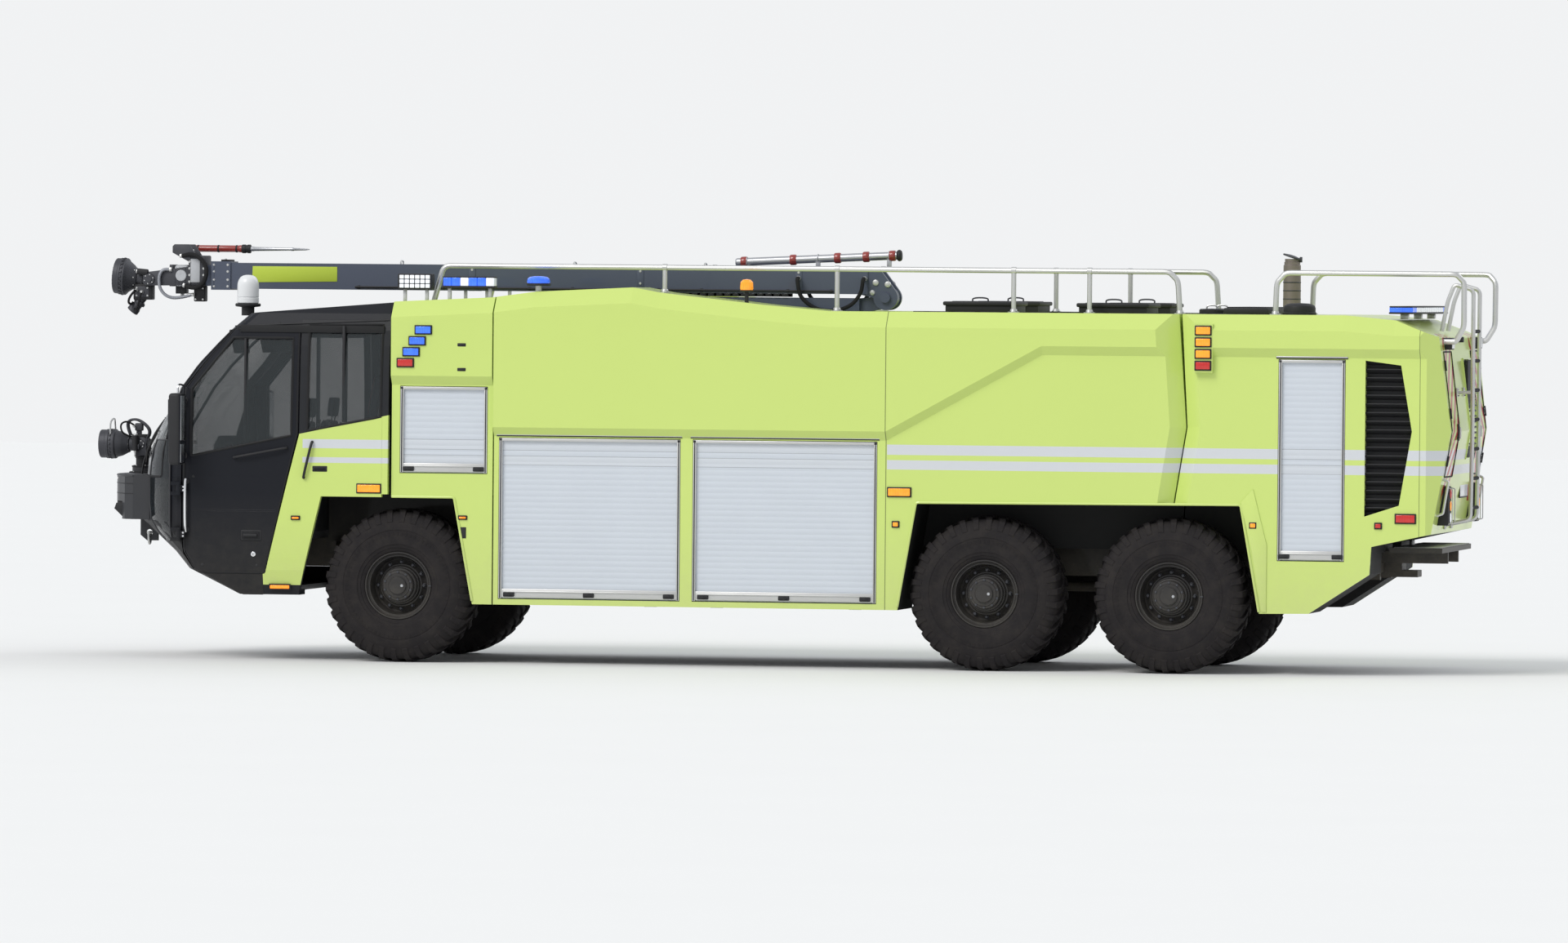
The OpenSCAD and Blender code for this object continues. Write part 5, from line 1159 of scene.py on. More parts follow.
# rain gutter over the windows and the roof's joint
addTube(form, [onSide(x, z, 0.001) for x, z in along([(-1.56, 2.985), (-0.1, 3.052)])], 0.008, 8, 1, smooth=0)
for x in cabSet["gutterScrews"]:
    addPlug(form, onSide(x, 3.02), (0, -1, 0.2), [(0.01, -0.003), (0.01, 0.003)], 12, 1)
# step under the door: open tread plate between two brackets
for k in range(cabSet["treads"]):
    boxAt(form, (-1.42 + k * 0.056, -1.38, 0.59), (-1.408 + k * 0.056, -1.24, 0.604), 0.003, 1)
for y in (-1.38, -1.24):
    boxAt(form, (-1.425, y - 0.008, 0.586), (-1.235, y + 0.008, 0.606), 0.004, 1)
# header strip over the side windows: a thin black strip that is painted shade under the rain gutter, darkening the
# head of the windows
addBox(form, onSide(-1.455, 3, -0.002), onSide(-0.135, 2.935, 0.01), 0.004)
# lip of the cab's wheel arch
addTube(form, [at(x, -1.4, z) for x, z in ((-0.905, 0.625), (-0.7, 1.478), (-0.14, 1.478))], 0.012, smooth=0)
mirrored(form)
# windscreen seal: foot, sides and head
for y0, y1, z in ((-1.33, 1.33, 1.63), (-1.3, 1.3, 2.942)):
    addTube(form, [onFront(y0 + (y1 - y0) * k / 40, z, -0.003) for k in range(41)], 0.013, smooth=0)
for side in (-1, 1):
    heights = [1.63 + k * 0.0546 for k in range(25)]
    addTube(form, [onFront(side * 1.342 * (1 - max(0, z - 2.45) * 0.06), z, -0.003) for z in heights], 0.013,
        smooth=0)
    # wiper: motor cap, arm and blade lying on the glass
    y, z, steps = side * cabSet["wiperY"], cabSet["wiperFoot"], cabSet["bladeSteps"]
    addRound(form, onFront(y, z, 0.002), (-1, side * 0.25, 0.05), [(0, 0), (0.032, 0), (0.034, 0.01), (0.026, 0.034),
        (0, 0.038)], 20, 1)
    arm = [onFront(y, z, 0.035), onFront(side * 0.56, 1.72, 0.045), onFront(side * 0.42, 1.98, 0.04),
        onFront(side * 0.33, 2.13, 0.028)]
    addTube(form, arm, 0.009, 10, 1)
    addTube(form, [p + Vector((0, side * 0.02, -0.012)) for p in arm], 0.005, 8, 1)
    blade = [onFront(side * (0.56 - 0.46 * k / steps), 1.74 + 0.8 * k / steps, 0.012) for k in range(steps + 1)]
    addTube(form, blade, 0.0085, smooth=0)
    addTube(form, [p + Vector((-0.012, 0, 0.004)) for p in blade[1:-1]], 0.004, 8, 1, smooth=0)
    for k in (3, 8, 13):
        addBox(form, blade[k] + Vector((-0.022, -0.01, -0.01)), blade[k] + Vector((0.006, 0.01, 0.01)), 0.003, 1)
# pillars and rail inside the screen, sun blinds
for y in cabSet["pillars"]:
    addTube(form, [onFront(y, z, -0.06) for z in [1.68 + k * 0.105 for k in range(13)]], 0.014, 8, 1, smooth=0)
for y0, y1 in ((-1.15, -0.25), (0.25, 1.15)):
    head, drop = [onFront(y0 + (y1 - y0) * k / 12, 2.9, -0.085) for k in range(13)], Vector((0.03, 0, -0.16))
    for one, other in zip(head, head[1:]):
        addTube(form, [one, other], 0.01, 6, 1, smooth=0)
        addPrism(form, [one, other, other + drop, one + drop], (0.006, 0, 0.001), 1)
# nose: press lines and an intake grille under the screen
for z in (1.5, 1.515):
    addTube(form, [onFront(-1.3 + 2.6 * k / 40, z, -0.003) for k in range(41)], 0.005, 8, 3, smooth=0)
for k in range(-9, 10):
    for row in range(cabSet["grilleRows"]):
        spot = onFront(k * 0.03, 1.535 + row * 0.018, 0.001)
        addBlock(form, spot, (-0.004, -0.012, -0.005), (0.004, 0.012, 0.005), 0.002, 1)
piece("cabTrim", form, [softBlack, darkPlastic, chrome, blackPaint])
print("cab trim made")


# bumper: headlamps, grille, cover lines

headlampSet = {"cells": 4, "start": -0.936, "step": 0.0735, "bezel": ((-2.726, 1.332), (-2.708, 1.383),
    (-2.58, 1.383), (-2.58, 1.263), (-2.652, 1.263))}
form = bmesh.new()  # 0 clear lens, 1 dark bezel, 2 bright reflector, 3 amber
for k in range(headlampSet["cells"]):
    y0, y1 = [headlampSet["start"] + n * headlampSet["step"] for n in (k, k + 1)]
    addPrism(form, [at(x, y0 + 0.004, z) for x, z in ((-2.722, 1.334), (-2.706, 1.378), (-2.6, 1.378), (-2.6, 1.268),
        (-2.65, 1.268))], (0, y1 - y0 - 0.008, 0), 0 if k < 3 else 3, 0.006)
    addPrism(form, [at(x, y0 + 0.01, z) for x, z in ((-2.7255, 1.338), (-2.712, 1.372), (-2.704, 1.372),
        (-2.649, 1.272), (-2.654, 1.272))], (0, y1 - y0 - 0.02, 0), 0 if k < 3 else 3, 0.003)
boxAt(form, (-2.706, -0.938, 1.378), (-2.58, -0.642, 1.384), 0.002, 1)
for y in (-0.9385, -0.6455):
    addPrism(form, [at(x, y, z) for x, z in headlampSet["bezel"]], (0, 0.004, 0), 1, 0.001)
mirrored(form)
piece("headlampUnits", form, [lensClear, darkPlastic, railMetal, lensAmber], instead=["headlamps"])

bumperSet = {"slats": 7, "lines": ((1.63, 0.01), (1.56, 0.004), (1.47, 0.004)), "footBolts": 8, "collarBolts": 6,
    "eyes": (-0.6, 0.6)}
form = bmesh.new()  # 0 bumper plastic, 1 dark, 2 metal
outline = [(-2.83, 0.3), (-2.79, 0.58), (-2.71, 0.83), (-2.61, 1.02), (-2.52, 1.08)]
full = [(x, -y) for x, y in reversed(outline)] + outline
for z, r in bumperSet["lines"]:
    addTube(form, [at(x + (0.004 if r > 0.005 else 0), y, z) for x, y in full], r, 8, 0 if r > 0.005 else 1, smooth=0)
# grille of the bumper's middle: slats in a frame
for k in range(bumperSet["slats"]):
    boxAt(form, (-2.834, -0.27, 1.452 + k * 0.022), (-2.822, 0.27, 1.462 + k * 0.022), 0.003, 1)
for y in (-0.27, 0, 0.27):
    boxAt(form, (-2.836, y - 0.008, 1.444), (-2.824, y + 0.008, 1.604), 0.003)
addBolts(form, [at(x - 0.001, y, 1.6) for x, y in ((-2.811, -0.44), (-2.811, 0.44), (-2.75, -0.705),
    (-2.75, 0.705))], (-1, 0, 0), 0.007, 0.006, 2)
# foot plate of the turret with its bolt ring, and the collar on it
addRound(form, at(turretX, 0, 1.6405), up, [(0.06, 0), (0.125, 0), (0.125, 0.008), (0.1, 0.012), (0.0955, 0.012)],
    40, 1)
angles = [a + 0.2 for a in turns(bumperSet["footBolts"])]
addBolts(form, ring(turretX, 0, 1.648, 0.112, angles), up, 0.007, 0.007, 2)
addRound(form, at(turretX, 0, 1.7), up, [(0.0955, -0.01), (0.1, -0.006), (0.1, 0.004), (0.0625, 0.01),
    (0.0625, 0.07), (0.068, 0.074), (0.068, 0.086), (0.0625, 0.0895)], 40, 1)
addBolts(form, ring(turretX, 0, 1.705, 0.08, turns(bumperSet["collarBolts"])), up, 0.006, 0.006, 2)
# shackles on the towing eyes
for y in bumperSet["eyes"]:
    shackle = ((-0.038, 1.11), (-0.038, 1.045), (0, 1), (0.038, 1.045), (0.038, 1.11))
    addTube(form, [at(-2.48, y + dy, z) for dy, z in shackle], 0.012, 12, 2)
    addRod(form, at(-2.48, y - 0.056, 1.11), at(-2.48, y + 0.056, 1.11), 0.014, 16, 2)
piece("bumperTrim", form, [bumperPaint, darkPlastic, railMetal])
print("bumper trim made")

# rails, ladder and rear face


def bent(points, radius):
    # rounds each corner without moving the straight runs
    points = [Vector(p) for p in points]
    line = [points[0]]
    for before, corner, after in zip(points, points[1:], points[2:]):
        r1, r2 = min(radius, (corner - before).length * 0.45), min(radius, (after - corner).length * 0.45)
        line += [corner + (before - corner).normalized() * r1, corner, corner + (after - corner).normalized() * r2]
    return line + [points[-1]]


def roofTop(x):
    line = [(-0.055, 3.22), (0.84, 3.265), (1.24, 3.32), (2.12, 3.365), (2.37, 3.32), (3.31, 3.22), (3.9, 3.17),
        (8.5, 3.175), (8.95, 3.138), (9.33, 2.99)]
    for (x0, z0), (x1, z1) in zip(line, line[1:]):
        if x <= x1:
            return z0 + (z1 - z0) * (x - x0) / (x1 - x0)
    return line[-1][1]


def rearFace(y, z, out=0):
    x = 9.33 + (2.99 - z) * 0.1205 if z > 2.16 else 9.43 - (2.16 - z) * 0.1667
    return at(x + out, y, z)


railSet = {"y": -1.15, "top": 3.545, "tube": 0.025, "post": 0.022, "posts": [2.36, 3.92, 5.51, 6.19],
    "feet": [7, 7.85]}
y, top, tube = railSet["y"], railSet["top"], railSet["tube"]
front = [at(x, y, z) for x, z in ((0.25, 3.2), (0.345, top), (6.9, top), (6.98, 3.465), (7, 3.16))]
rear = [at(7.85, y, 3.16), at(7.86, y, 3.455), at(7.94, y, top), at(9.45, y, top), at(9.516, -1.11, 3.475),
    at(9.516, -1.095, 3.08), at(9.44, -1.07, 2.95), at(9.335, -1.07, 2.95)]
form = bmesh.new()  # 0 tube, 1 flange, 2 bolts
addTube(form, bent(front, 0.13), tube, 16)
addTube(form, bent(rear, 0.12), tube, 16)
for x in railSet["posts"]:
    addRod(form, at(x, y, roofTop(x) - 0.01), at(x, y, top - 0.005), railSet["post"], 16)
for x in railSet["feet"] + railSet["posts"]:
    z = roofTop(x)
    addPlug(form, at(x, y, z), up, [(0.052, 0), (0.052, 0.007), (0.034, 0.01), (0.029, 0.03), (0.024, 0.032)], 24, 1)
    addBolts(form, ring(x, y, z + 0.007, 0.04, (0.78, 2.36, 3.93, 5.5)), up, 0.006, 0.006, 2)
for x in railSet["posts"]:
    addRound(form, at(x, y, top), (1, 0, 0), [(0.026, -0.022), (0.031, -0.02), (0.031, 0.02), (0.026, 0.022)], 20, 1)
mirrored(form)
piece("roofHandrails", form, [railMetal, railMetal, darkPlastic], instead=["roof_rails"])

ladderSet = {"sides": (-0.56, -0.12), "brackets": (1.33, 2.5), "x": 9.526, "rungs": 7, "first": 1.48, "step": 0.26,
    "grips": 20}
form = bmesh.new()
for y in ladderSet["sides"]:
    foot, middle = ladderSet["brackets"]
    stile = ((9.52, 1.38), (9.53, 2.1), (9.53, 3.405), (9.36, 3.455), (9.3, 3.3), (9.25, 3.04))
    addTube(form, bent([rearFace(y, foot, 0.004)] + [at(x, y, z) for x, z in stile], 0.1), 0.019, 16)
    addRod(form, rearFace(y, middle, -0.006), at(9.528, y, middle), 0.013, 14)
    for z in ladderSet["brackets"]:
        addBlock(form, rearFace(y, z), (-0.002, -0.04, -0.04), (0.012, 0.04, 0.04), 0.003)
        addBolts(form, [rearFace(y + a, z + b, 0.012) for a in (-0.028, 0.028) for b in (-0.028, 0.028)], (1, 0, 0),
            0.005, 0.005, 1)
x, (left, right) = ladderSet["x"], ladderSet["sides"]
for k in range(ladderSet["rungs"]):
    z = ladderSet["first"] + k * ladderSet["step"]
    addRod(form, at(x, left + 0.004, z), at(x, right - 0.004, z), 0.014, 14)
    for j in range(ladderSet["grips"]):
        addRound(form, at(x, left + 0.03 + j * 0.02, z), (0, 1, 0), [(0.0135, -0.005), (0.0165, -0.003),
            (0.0165, 0.003), (0.0135, 0.005)], 12, 1)
piece("ladder", form, [railMetal, darkPlastic], instead=["rear_ladder"])


def rearFrame(form, y0, y1, z0, z1, radius, finish):
    # bead round a field of the rear face, one run for each side
    corners = [(y0, z0), (y1, z0), (y1, z1), (y0, z1), (y0, z0)]
    for (ya, za), (yb, zb) in zip(corners, corners[1:]):
        line = [rearFace(ya + (yb - ya) * k / 8, za + (zb - za) * k / 8, 0.001) for k in range(9)]
        addTube(form, line, radius, 8, finish, smooth=0)


rearSet = {"doorInner": 0.66, "doorOuter": 1.18, "doorFoot": 1.76, "doorTop": 2.86, "hinges": (1.9, 2.32, 2.74),
    "louvres": 18, "treads": 24}
form = bmesh.new()  # 0 seal, 1 dark, 2 metal, 3 lime, 4 white
for side in (-1, 1):
    # two hinged doors with seal, handle, hinges
    y0, y1 = sorted((side * rearSet["doorInner"], side * rearSet["doorOuter"]))
    rearFrame(form, y0, y1, rearSet["doorFoot"], rearSet["doorTop"], 0.0075, 0)
    for z in rearSet["hinges"]:
        addRod(form, rearFace(side * 1.196, z - 0.045, 0.008), rearFace(side * 1.196, z + 0.045, 0.008), 0.011, 12, 1)
        addBlock(form, rearFace(side * 1.165, z), (-0.004, -0.032, -0.035), (0.008, 0.032, 0.035), 0.003, 1)
        addBolts(form, [rearFace(side * 1.15, z + b, 0.008) for b in (-0.02, 0.02)], (1, 0, 0), 0.005, 0.004, 2)
    knob = rearFace(side * 0.73, 2.15)
    addBlock(form, knob, (-0.006, -0.035, -0.075), (0.008, 0.035, 0.075), 0.006, 1)
    addBlock(form, knob, (0.008, -0.012, -0.055), (0.026, 0.012, 0.045), 0.006, 2)
    # work lamp high on the rear, step handle, grab rail
    lamp = rearFace(side * 0.98, 2.93)
    addBlock(form, lamp, (-0.02, -0.085, -0.05), (0.07, 0.085, 0.055), 0.01, 1)
    addBlock(form, lamp, (0.062, -0.075, -0.04), (0.076, 0.075, 0.045), 0.006, 4)
    grab = [rearFace(side * 1.215, z, out) for z, out in ((1.42, 0), (1.44, 0.05), (1.72, 0.05), (1.74, 0))]
    addTube(form, bent(grab, 0.03), 0.012, 12, 2, smooth=2)
# louvred engine panel with frame, and the blank plate under it
addBlock(form, rearFace(0.32, 2.35), (-0.03, -0.26, -0.43), (0, 0.26, 0.43), 0.004, 1)
for k in range(rearSet["louvres"]):
    addBlock(form, rearFace(0.32, 1.945 + k * 0.049), (-0.02, -0.245, -0.003), (0.02, 0.245, 0.003), 0.002, 1,
        turn=Matrix.Rotation(radians(35), 4, "Y"))
rearFrame(form, 0.06, 0.58, 1.91, 2.79, 0.012, 3)
plate = rearFace(0.32, 1.62)
addBlock(form, plate, (-0.004, -0.27, -0.065), (0.006, 0.27, 0.065), 0.004, 1)
addBlock(form, plate, (0.004, -0.255, -0.052), (0.009, 0.255, 0.052), 0.003, 4)
# rear camera and step tread
addBlock(form, rearFace(0, 2.96), (-0.03, -0.035, -0.02), (0.04, 0.035, 0.03), 0.008, 1)
for k in range(rearSet["treads"]):
    boxAt(form, (8.9, -0.98 + k * 0.083, 1.129), (9.32, -0.95 + k * 0.083, 1.136), 0.002, 2)
piece("rearFaceTrim", form, [softBlack, darkPlastic, railMetal, limePaint, whitePlastic])

# tail lamps: round lenses in a dark housing with a guard
tailSet = {"y": 0.98, "face": 9.392, "lenses": ((1.61, 0), (1.505, 2), (1.4, 3))}
x = tailSet["face"]
form = bmesh.new()  # 0 red, 1 dark, 2 amber, 3 clear, 4 metal
for side in (-1, 1):
    y = side * tailSet["y"]
    boxAt(form, (x - 0.107, y - 0.1, 1.332), (x, y + 0.1, 1.678), 0.01, 1)
    for z, lens in tailSet["lenses"]:
        addRound(form, at(x, y, z), (1, 0, 0), [(0, -0.004), (0.048, -0.004), (0.049, 0.004), (0.044, 0.006)], 28, 1)
        addRound(form, at(x, y, z), (1, 0, 0), [(0.045, 0), (0.045, 0.006), (0.04, 0.011), (0.022, 0.015),
            (0, 0.016)], 28, lens)
    for dy in (-0.088, 0.088):
        guard = ((-0.006, 1.345), (0.032, 1.355), (0.032, 1.655), (-0.006, 1.665))
        addTube(form, bent([at(x + dx, y + dy, z) for dx, z in guard], 0.02), 0.005, 8, 4, smooth=2)
piece("tailLamps", form, [lensRed, darkPlastic, lensAmber, lensClear, railMetal])
print("rails, ladder and rear face made")


# body trim: arch lips, latches, drip lips, roof tread

trimSet = {"arches": (((4.54, 0.56), (4.7, 1.485), (7.6, 1.5), (7.77, 0.56)),
    ((-0.05, 1.48), (0.52, 1.48), (0.69, 0.56))), "drips": ((0, 0.84, 2.5), (0.905, 2.59, 2.04), (2.665, 4.37, 2.04),
    (7.905, 8.54, 2.8)), "irons": (1.05, 2.25, 2.85, 4.1), "latches": (2.84, 2.62), "vents": (0.35, -0.25),
    "strips": 13}
form = bmesh.new()  # 0 lime, 1 dark, 2 metal
for line in trimSet["arches"]:
    addTube(form, bent([at(x, -1.446, z) for x, z in line], 0.05), 0.012, 10, smooth=2)
# raised trim behind the rear arch
addPrism(form, [at(x, -1.445, z) for x, z in ((7.6, 1.52), (7.71, 1.64), (7.835, 1.15), (7.835, 0.56), (7.79, 0.56),
    (7.7, 1.1))], (0, -0.01, 0), 0, 0.004)
for z in trimSet["latches"]:
    spot = at(0.59, -1.5, z)
    addBlock(form, spot, (-0.04, -0.003, -0.016), (0.04, 0.006, 0.016), 0.006, 1)
    addBlock(form, spot, (-0.026, -0.01, -0.006), (0.026, -0.003, 0.006), 0.003, 1)
boxAt(form, (0.572, -1.448, 1.115), (0.632, -1.444, 1.215), 0.002, 1)
# drip lips over the shutters
for x0, x1, z in trimSet["drips"]:
    boxAt(form, (x0, -1.456, z), (x1, -1.444, z + 0.012), 0.003, 2)
    boxAt(form, (x0, -1.452, z - 0.01), (x1, -1.444, z), 0.002, 1)
# sill step irons under the lockers
for x in trimSet["irons"]:
    boxAt(form, (x, -1.44, 0.528), (x + 0.12, -1.38, 0.556), 0.006, 1)
mirrored(form)
# tread strips and fillers on the roof, either side of the boom
for side in (-1, 1):
    for x in [start + k * 0.23 for start in (4.6, 4.69) for k in range(trimSet["strips"])]:
        boxAt(form, (x, side * 1.08 - 0.03, 3.166), (x + 0.15, side * 1.08 + 0.03, 3.178), 0.003, 1)
x = 7.15
for y in trimSet["vents"]:
    addRound(form, at(x, y, 3.168), up, [(0, 0), (0.14, 0), (0.14, 0.01), (0.115, 0.014), (0.115, 0.04),
        (0.105, 0.05), (0, 0.054)], 32, 1)
    addTube(form, [at(x + u, y, z) for u, z in ((-0.05, 3.215), (-0.045, 3.25), (0.045, 3.25), (0.05, 3.215))],
        0.008, 8, 2)
piece("bodyTrim", form, [limePaint, darkPlastic, railMetal])

gearSet = {"bolts": 10, "tanks": (-0.23, 0.23), "straps": (1.35, 1.85), "lines": 3}
form = bmesh.new()  # 0 chassis paint, 1 dark, 2 metal
for x in (wheelSet["axles"]["mid"], wheelSet["axles"]["rear"]):
    for side in (-1, 1):
        # brake chamber on its bracket, clear of the wheels
        addPlug(form, at(x + 0.15, side * 0.5, 0.8), (0, side, 0), [(0.06, -0.08), (0.075, -0.06), (0.075, -0.004),
            (0.084, 0), (0.084, 0.012), (0.075, 0.016), (0.075, 0.06), (0.05, 0.08)], 28, 1)
        boxAt(form, (x + 0.05, side * 0.5 - 0.02, 0.73), (x + 0.11, side * 0.5 + 0.02, 0.83), 0.006)
    addRound(form, at(x - 0.196, 0, 0.685), (-1, 0, 0), [(0.06, 0), (0.11, 0), (0.11, 0.01), (0.06, 0.014)], 28)
    addRound(form, at(x, 0, 0.685), (1, 0, 0), [(0.12, 0.185), (0.16, 0.17), (0.165, 0.196), (0.12, 0.206),
        (0, 0.206)], 32)
    addBolts(form, ring(x + 0.2, 0, 0.685, 0.14, [k * 0.628 for k in range(gearSet["bolts"])], "x"), (1, 0, 0),
        0.009, 0.01, 2)
# air tanks in cradles between the frame rails
for y in gearSet["tanks"]:
    addRound(form, at(1.15, y, 0.8), (1, 0, 0), [(0, -0.01), (0.06, 0), (0.105, 0.03), (0.115, 0.07), (0.115, 0.83),
        (0.105, 0.87), (0.06, 0.9), (0, 0.91)], 32)
    for x in gearSet["straps"]:
        addRound(form, at(x, y, 0.8), (1, 0, 0), [(0.114, -0.02), (0.119, -0.018), (0.119, 0.018), (0.114, 0.02)],
            32, 2)
        boxAt(form, (x - 0.02, y - 0.03, 0.9), (x + 0.02, y + 0.03, 0.98), 0.003)
addRod(form, at(8.93, 0, 1), at(8.93, 0, 1.18), 0.024, 20, 2)
pinRing = ((0, 1.17), (-0.04, 1.2), (0, 1.235), (0.04, 1.2), (0, 1.17))
addTube(form, [at(8.93, y, z) for y, z in pinRing], 0.007, 8, 2)
for k in range(gearSet["lines"]):
    y = 0.18 + k * 0.03
    addTube(form, [at(2.2, y, 0.93), at(3.4, y, 0.95), at(3.52, y, 0.93)], 0.009, 8, 1, smooth=1)
piece("runningGearTrim", form, [chassisPaint, darkPlastic, railMetal])
print("body and running gear trim made")

# boom well: slew ring bolts, tread plates, pipe runs, drains
wellSet = {"x": 1.9, "floor": 2.9003, "ring": 3.0303, "bolts": 28, "plates": (2.48, 3.18, 3.88),
    "clamps": (2.7, 3.3, 3.9, 4.4)}
floorZ = wellSet["floor"]
form = bmesh.new()  # 0 boom paint, 1 bright metal, 2 dark, 3 plate
for radius, size in ((0.452, 0.011), (0.33, 0.008)):
    addBolts(form, ring(wellSet["x"], 0, wellSet["ring"], radius, turns(wellSet["bolts"], 0.5)), up, size, 0.01, 1)
addRound(form, at(wellSet["x"], 0, wellSet["ring"]), up, [(0.392, 0), (0.396, 0.004), (0.41, 0.004), (0.414, 0)], 48)
for side in (-1, 1):
    for x in wellSet["plates"]:
        boxAt(form, (x, side * 0.16, floorZ), (x + 0.66, side * 0.5, floorZ + 0.004), 0.0015, 3)
        addBolts(form, [at(x + dx, side * dy, floorZ + 0.004) for dx in (0.03, 0.63) for dy in (0.185, 0.475)], up,
            0.007, 0.003, 1)
        for k in range(12):
            for row in range(5):
                spot = at(x + 0.065 + k * 0.048, side * (0.215 + row * 0.058), floorZ + 0.0035)
                addBox(form, spot, spot + Vector((0.022, 0.006, 0.0025)), 0, 3)
    # pipes from the rear bulkhead to the slew ring, in clamps
    for k in range(3):
        y = side * (0.03 + k * 0.036)
        addTube(form, [at(4.48, y, 2.925), at(2.52, y, 2.925), at(2.4, y, 2.925), at(2.365, y * 1.6, 3.01)], 0.011,
            10, 1, smooth=2)
    for x in wellSet["clamps"]:
        boxAt(form, (x, side * 0.01, 2.9005), (x + 0.03, side * 0.124, 2.942), 0.004, 2)
    addPlug(form, at(1.3, side * 0.4, 2.9005), up, [(0.04, 0), (0.044, 0.003), (0.036, 0.006), (0.03, 0.003)], 24, 2)
piece("wellTrim", form, [boomPaint, pipeMetal, darkPlastic, shutterMetal])

# cab inside: padded seats, their frames, dashboard fittings


def clothFinish(name, colour, thread):
    # plain weave with darker piping tone
    f = Finish(name)
    x, y, z = f.axes()
    weave = f.wave((x + z) * 1400) * f.wave((y + z * 0.5) * 1400)
    worn = f.noise(7, 4, rough=0.6)
    return f.close(colour=f.mix(worn * 0.6 + weave * 0.25, colour, thread), rough=0.88 + worn * 0.08, sheen=0.35,
        normal=f.bump(weave + worn * 2, 0.35, 0.0012))


cushionCloth = clothFinish("cushionCloth", (0.04, 0.046, 0.062), (0.085, 0.092, 0.115))
beltWeb = clothFinish("beltWeb", (0.26, 0.03, 0.022), (0.33, 0.06, 0.05))


def softBlock(name, size, place, crown, pinch, channels):
    # crowned cushion: rounded corners, sides pulled in between them, sewn channels
    part = bmesh.new()
    bmesh.ops.create_cube(part, size=2)
    bmesh.ops.subdivide_edges(part, edges=part.edges[:], cuts=23, use_grid_fill=True)
    for vert in part.verts:
        u, v, w = vert.co
        rounding = (abs(u) ** 6 + abs(v) ** 6 + abs(w) ** 6) ** (1 / 6)
        u, v, w = (c * max(abs(u), abs(v), abs(w)) / rounding for c in (u, v, w))
        full = (1 - u * u) * (1 - v * v)
        thick = w * (0.86 + crown * full)
        if w > 0.2:
            for c in channels:
                thick -= 0.16 * exp(-((u - c) / 0.045) ** 2) * (1 - v ** 8)
            thick -= 0.1 * exp(-((abs(v) - 0.72) / 0.04) ** 2)
        thin = 1 - pinch * (1 - abs(w)) * 0.5
        vert.co = (u * (1 - pinch * (1 - v * v)) * thin * size[0] / 2, v * (1 - pinch * (1 - u * u)) * thin
            * size[1] / 2, thick * size[2] / 2)
    form = bmesh.new()
    pour(form, part, 0, [place])
    piece(name, form, [cushionCloth], sharp=60)


# places on the cab floor, sizes of the pads, how far backs and head rests lean
seatSet = {"places": [(-1.33, y, 1.151) for y in (-0.45, 0.45)] + [(-0.56, y, 1.561) for y in (-0.7, 0, 0.7)],
    "cushion": (0.49, 0.47, 0.136), "back": (0.55, 0.47, 0.1), "rest": (0.185, 0.25, 0.07),
    "backLean": atan2(0.105, 0.56), "restLean": atan2(0.02, 0.2), "bellows": 6}
upright = Matrix.Rotation(radians(-90), 4, "Y")
backTurn, restTurn = [Matrix.Rotation(seatSet[lean], 4, "Y") @ upright for lean in ("backLean", "restLean")]
form = bmesh.new()  # 0 dark, 1 metal, 2 belt
for count, (x, y, z) in enumerate(seatSet["places"]):
    softBlock("seatCushion%d" % count, seatSet["cushion"], shifted(at(x - 0.015, y, z + 0.371)), 0.14, 0.05,
        (-0.45, 0.1))
    place = shifted(at(x + 0.222, y, z + 0.722)) @ backTurn
    softBlock("seatBack%d" % count, seatSet["back"], place, 0.16, 0.05, (-0.3, 0.25))
    place = shifted(at(x + 0.3, y, z + 1.1)) @ restTurn
    softBlock("headRest%d" % count, seatSet["rest"], place, 0.2, 0.06, ())
    # pedestal, side rails, recline wheel, posts of the head rest
    boxAt(form, (x - 0.18, y - 0.19, z + 0.002), (x + 0.2, y + 0.19, z + 0.03), 0.006, 1)
    for k in range(seatSet["bellows"]):
        boxAt(form, (x - 0.15, y - 0.15, z + 0.034 + k * 0.034), (x + 0.17, y + 0.15, z + 0.062 + k * 0.034), 0.012)
    boxAt(form, (x - 0.2, y - 0.205, z + 0.24), (x + 0.215, y + 0.205, z + 0.299), 0.01)
    for side in (-1, 1):
        rail = ((0.06, 0.222, 0.27), (0.19, 0.228, 0.3), (0.262, 0.228, 0.6), (0.318, 0.215, 0.96))
        addTube(form, [at(x + u, y + side * v, z + w) for u, v, w in rail], 0.009, 10, 1)
        addRod(form, at(x + 0.292, y + side * 0.06, z + 0.95), at(x + 0.304, y + side * 0.06, z + 1.04), 0.006, 10, 1)
        # belt lying over the back, then its buckle
        belt = ((0.15, 0.13, 0.45), (0.148, 0.14, 0.7), (0.205, 0.15, 0.985), (0.209, 0.15, 0.984),
            (0.153, 0.14, 0.7), (0.155, 0.13, 0.45))
        addPrism(form, [at(x + u, y + side * v, z + w) for u, v, w in belt], (0, 0.046, 0), 2)
    addRod(form, at(x + 0.205, y - 0.236, z + 0.33), at(x + 0.205, y - 0.258, z + 0.33), 0.032, 20)
    boxAt(form, (x + 0.11, y + 0.238, z + 0.38), (x + 0.14, y + 0.252, z + 0.47), 0.005)
    boxAt(form, (x + 0.114, y + 0.236, z + 0.452), (x + 0.136, y + 0.254, z + 0.464), 0.002, 2)
piece("seatFrames", form, [darkPlastic, railMetal, beltWeb], instead=["seats"])

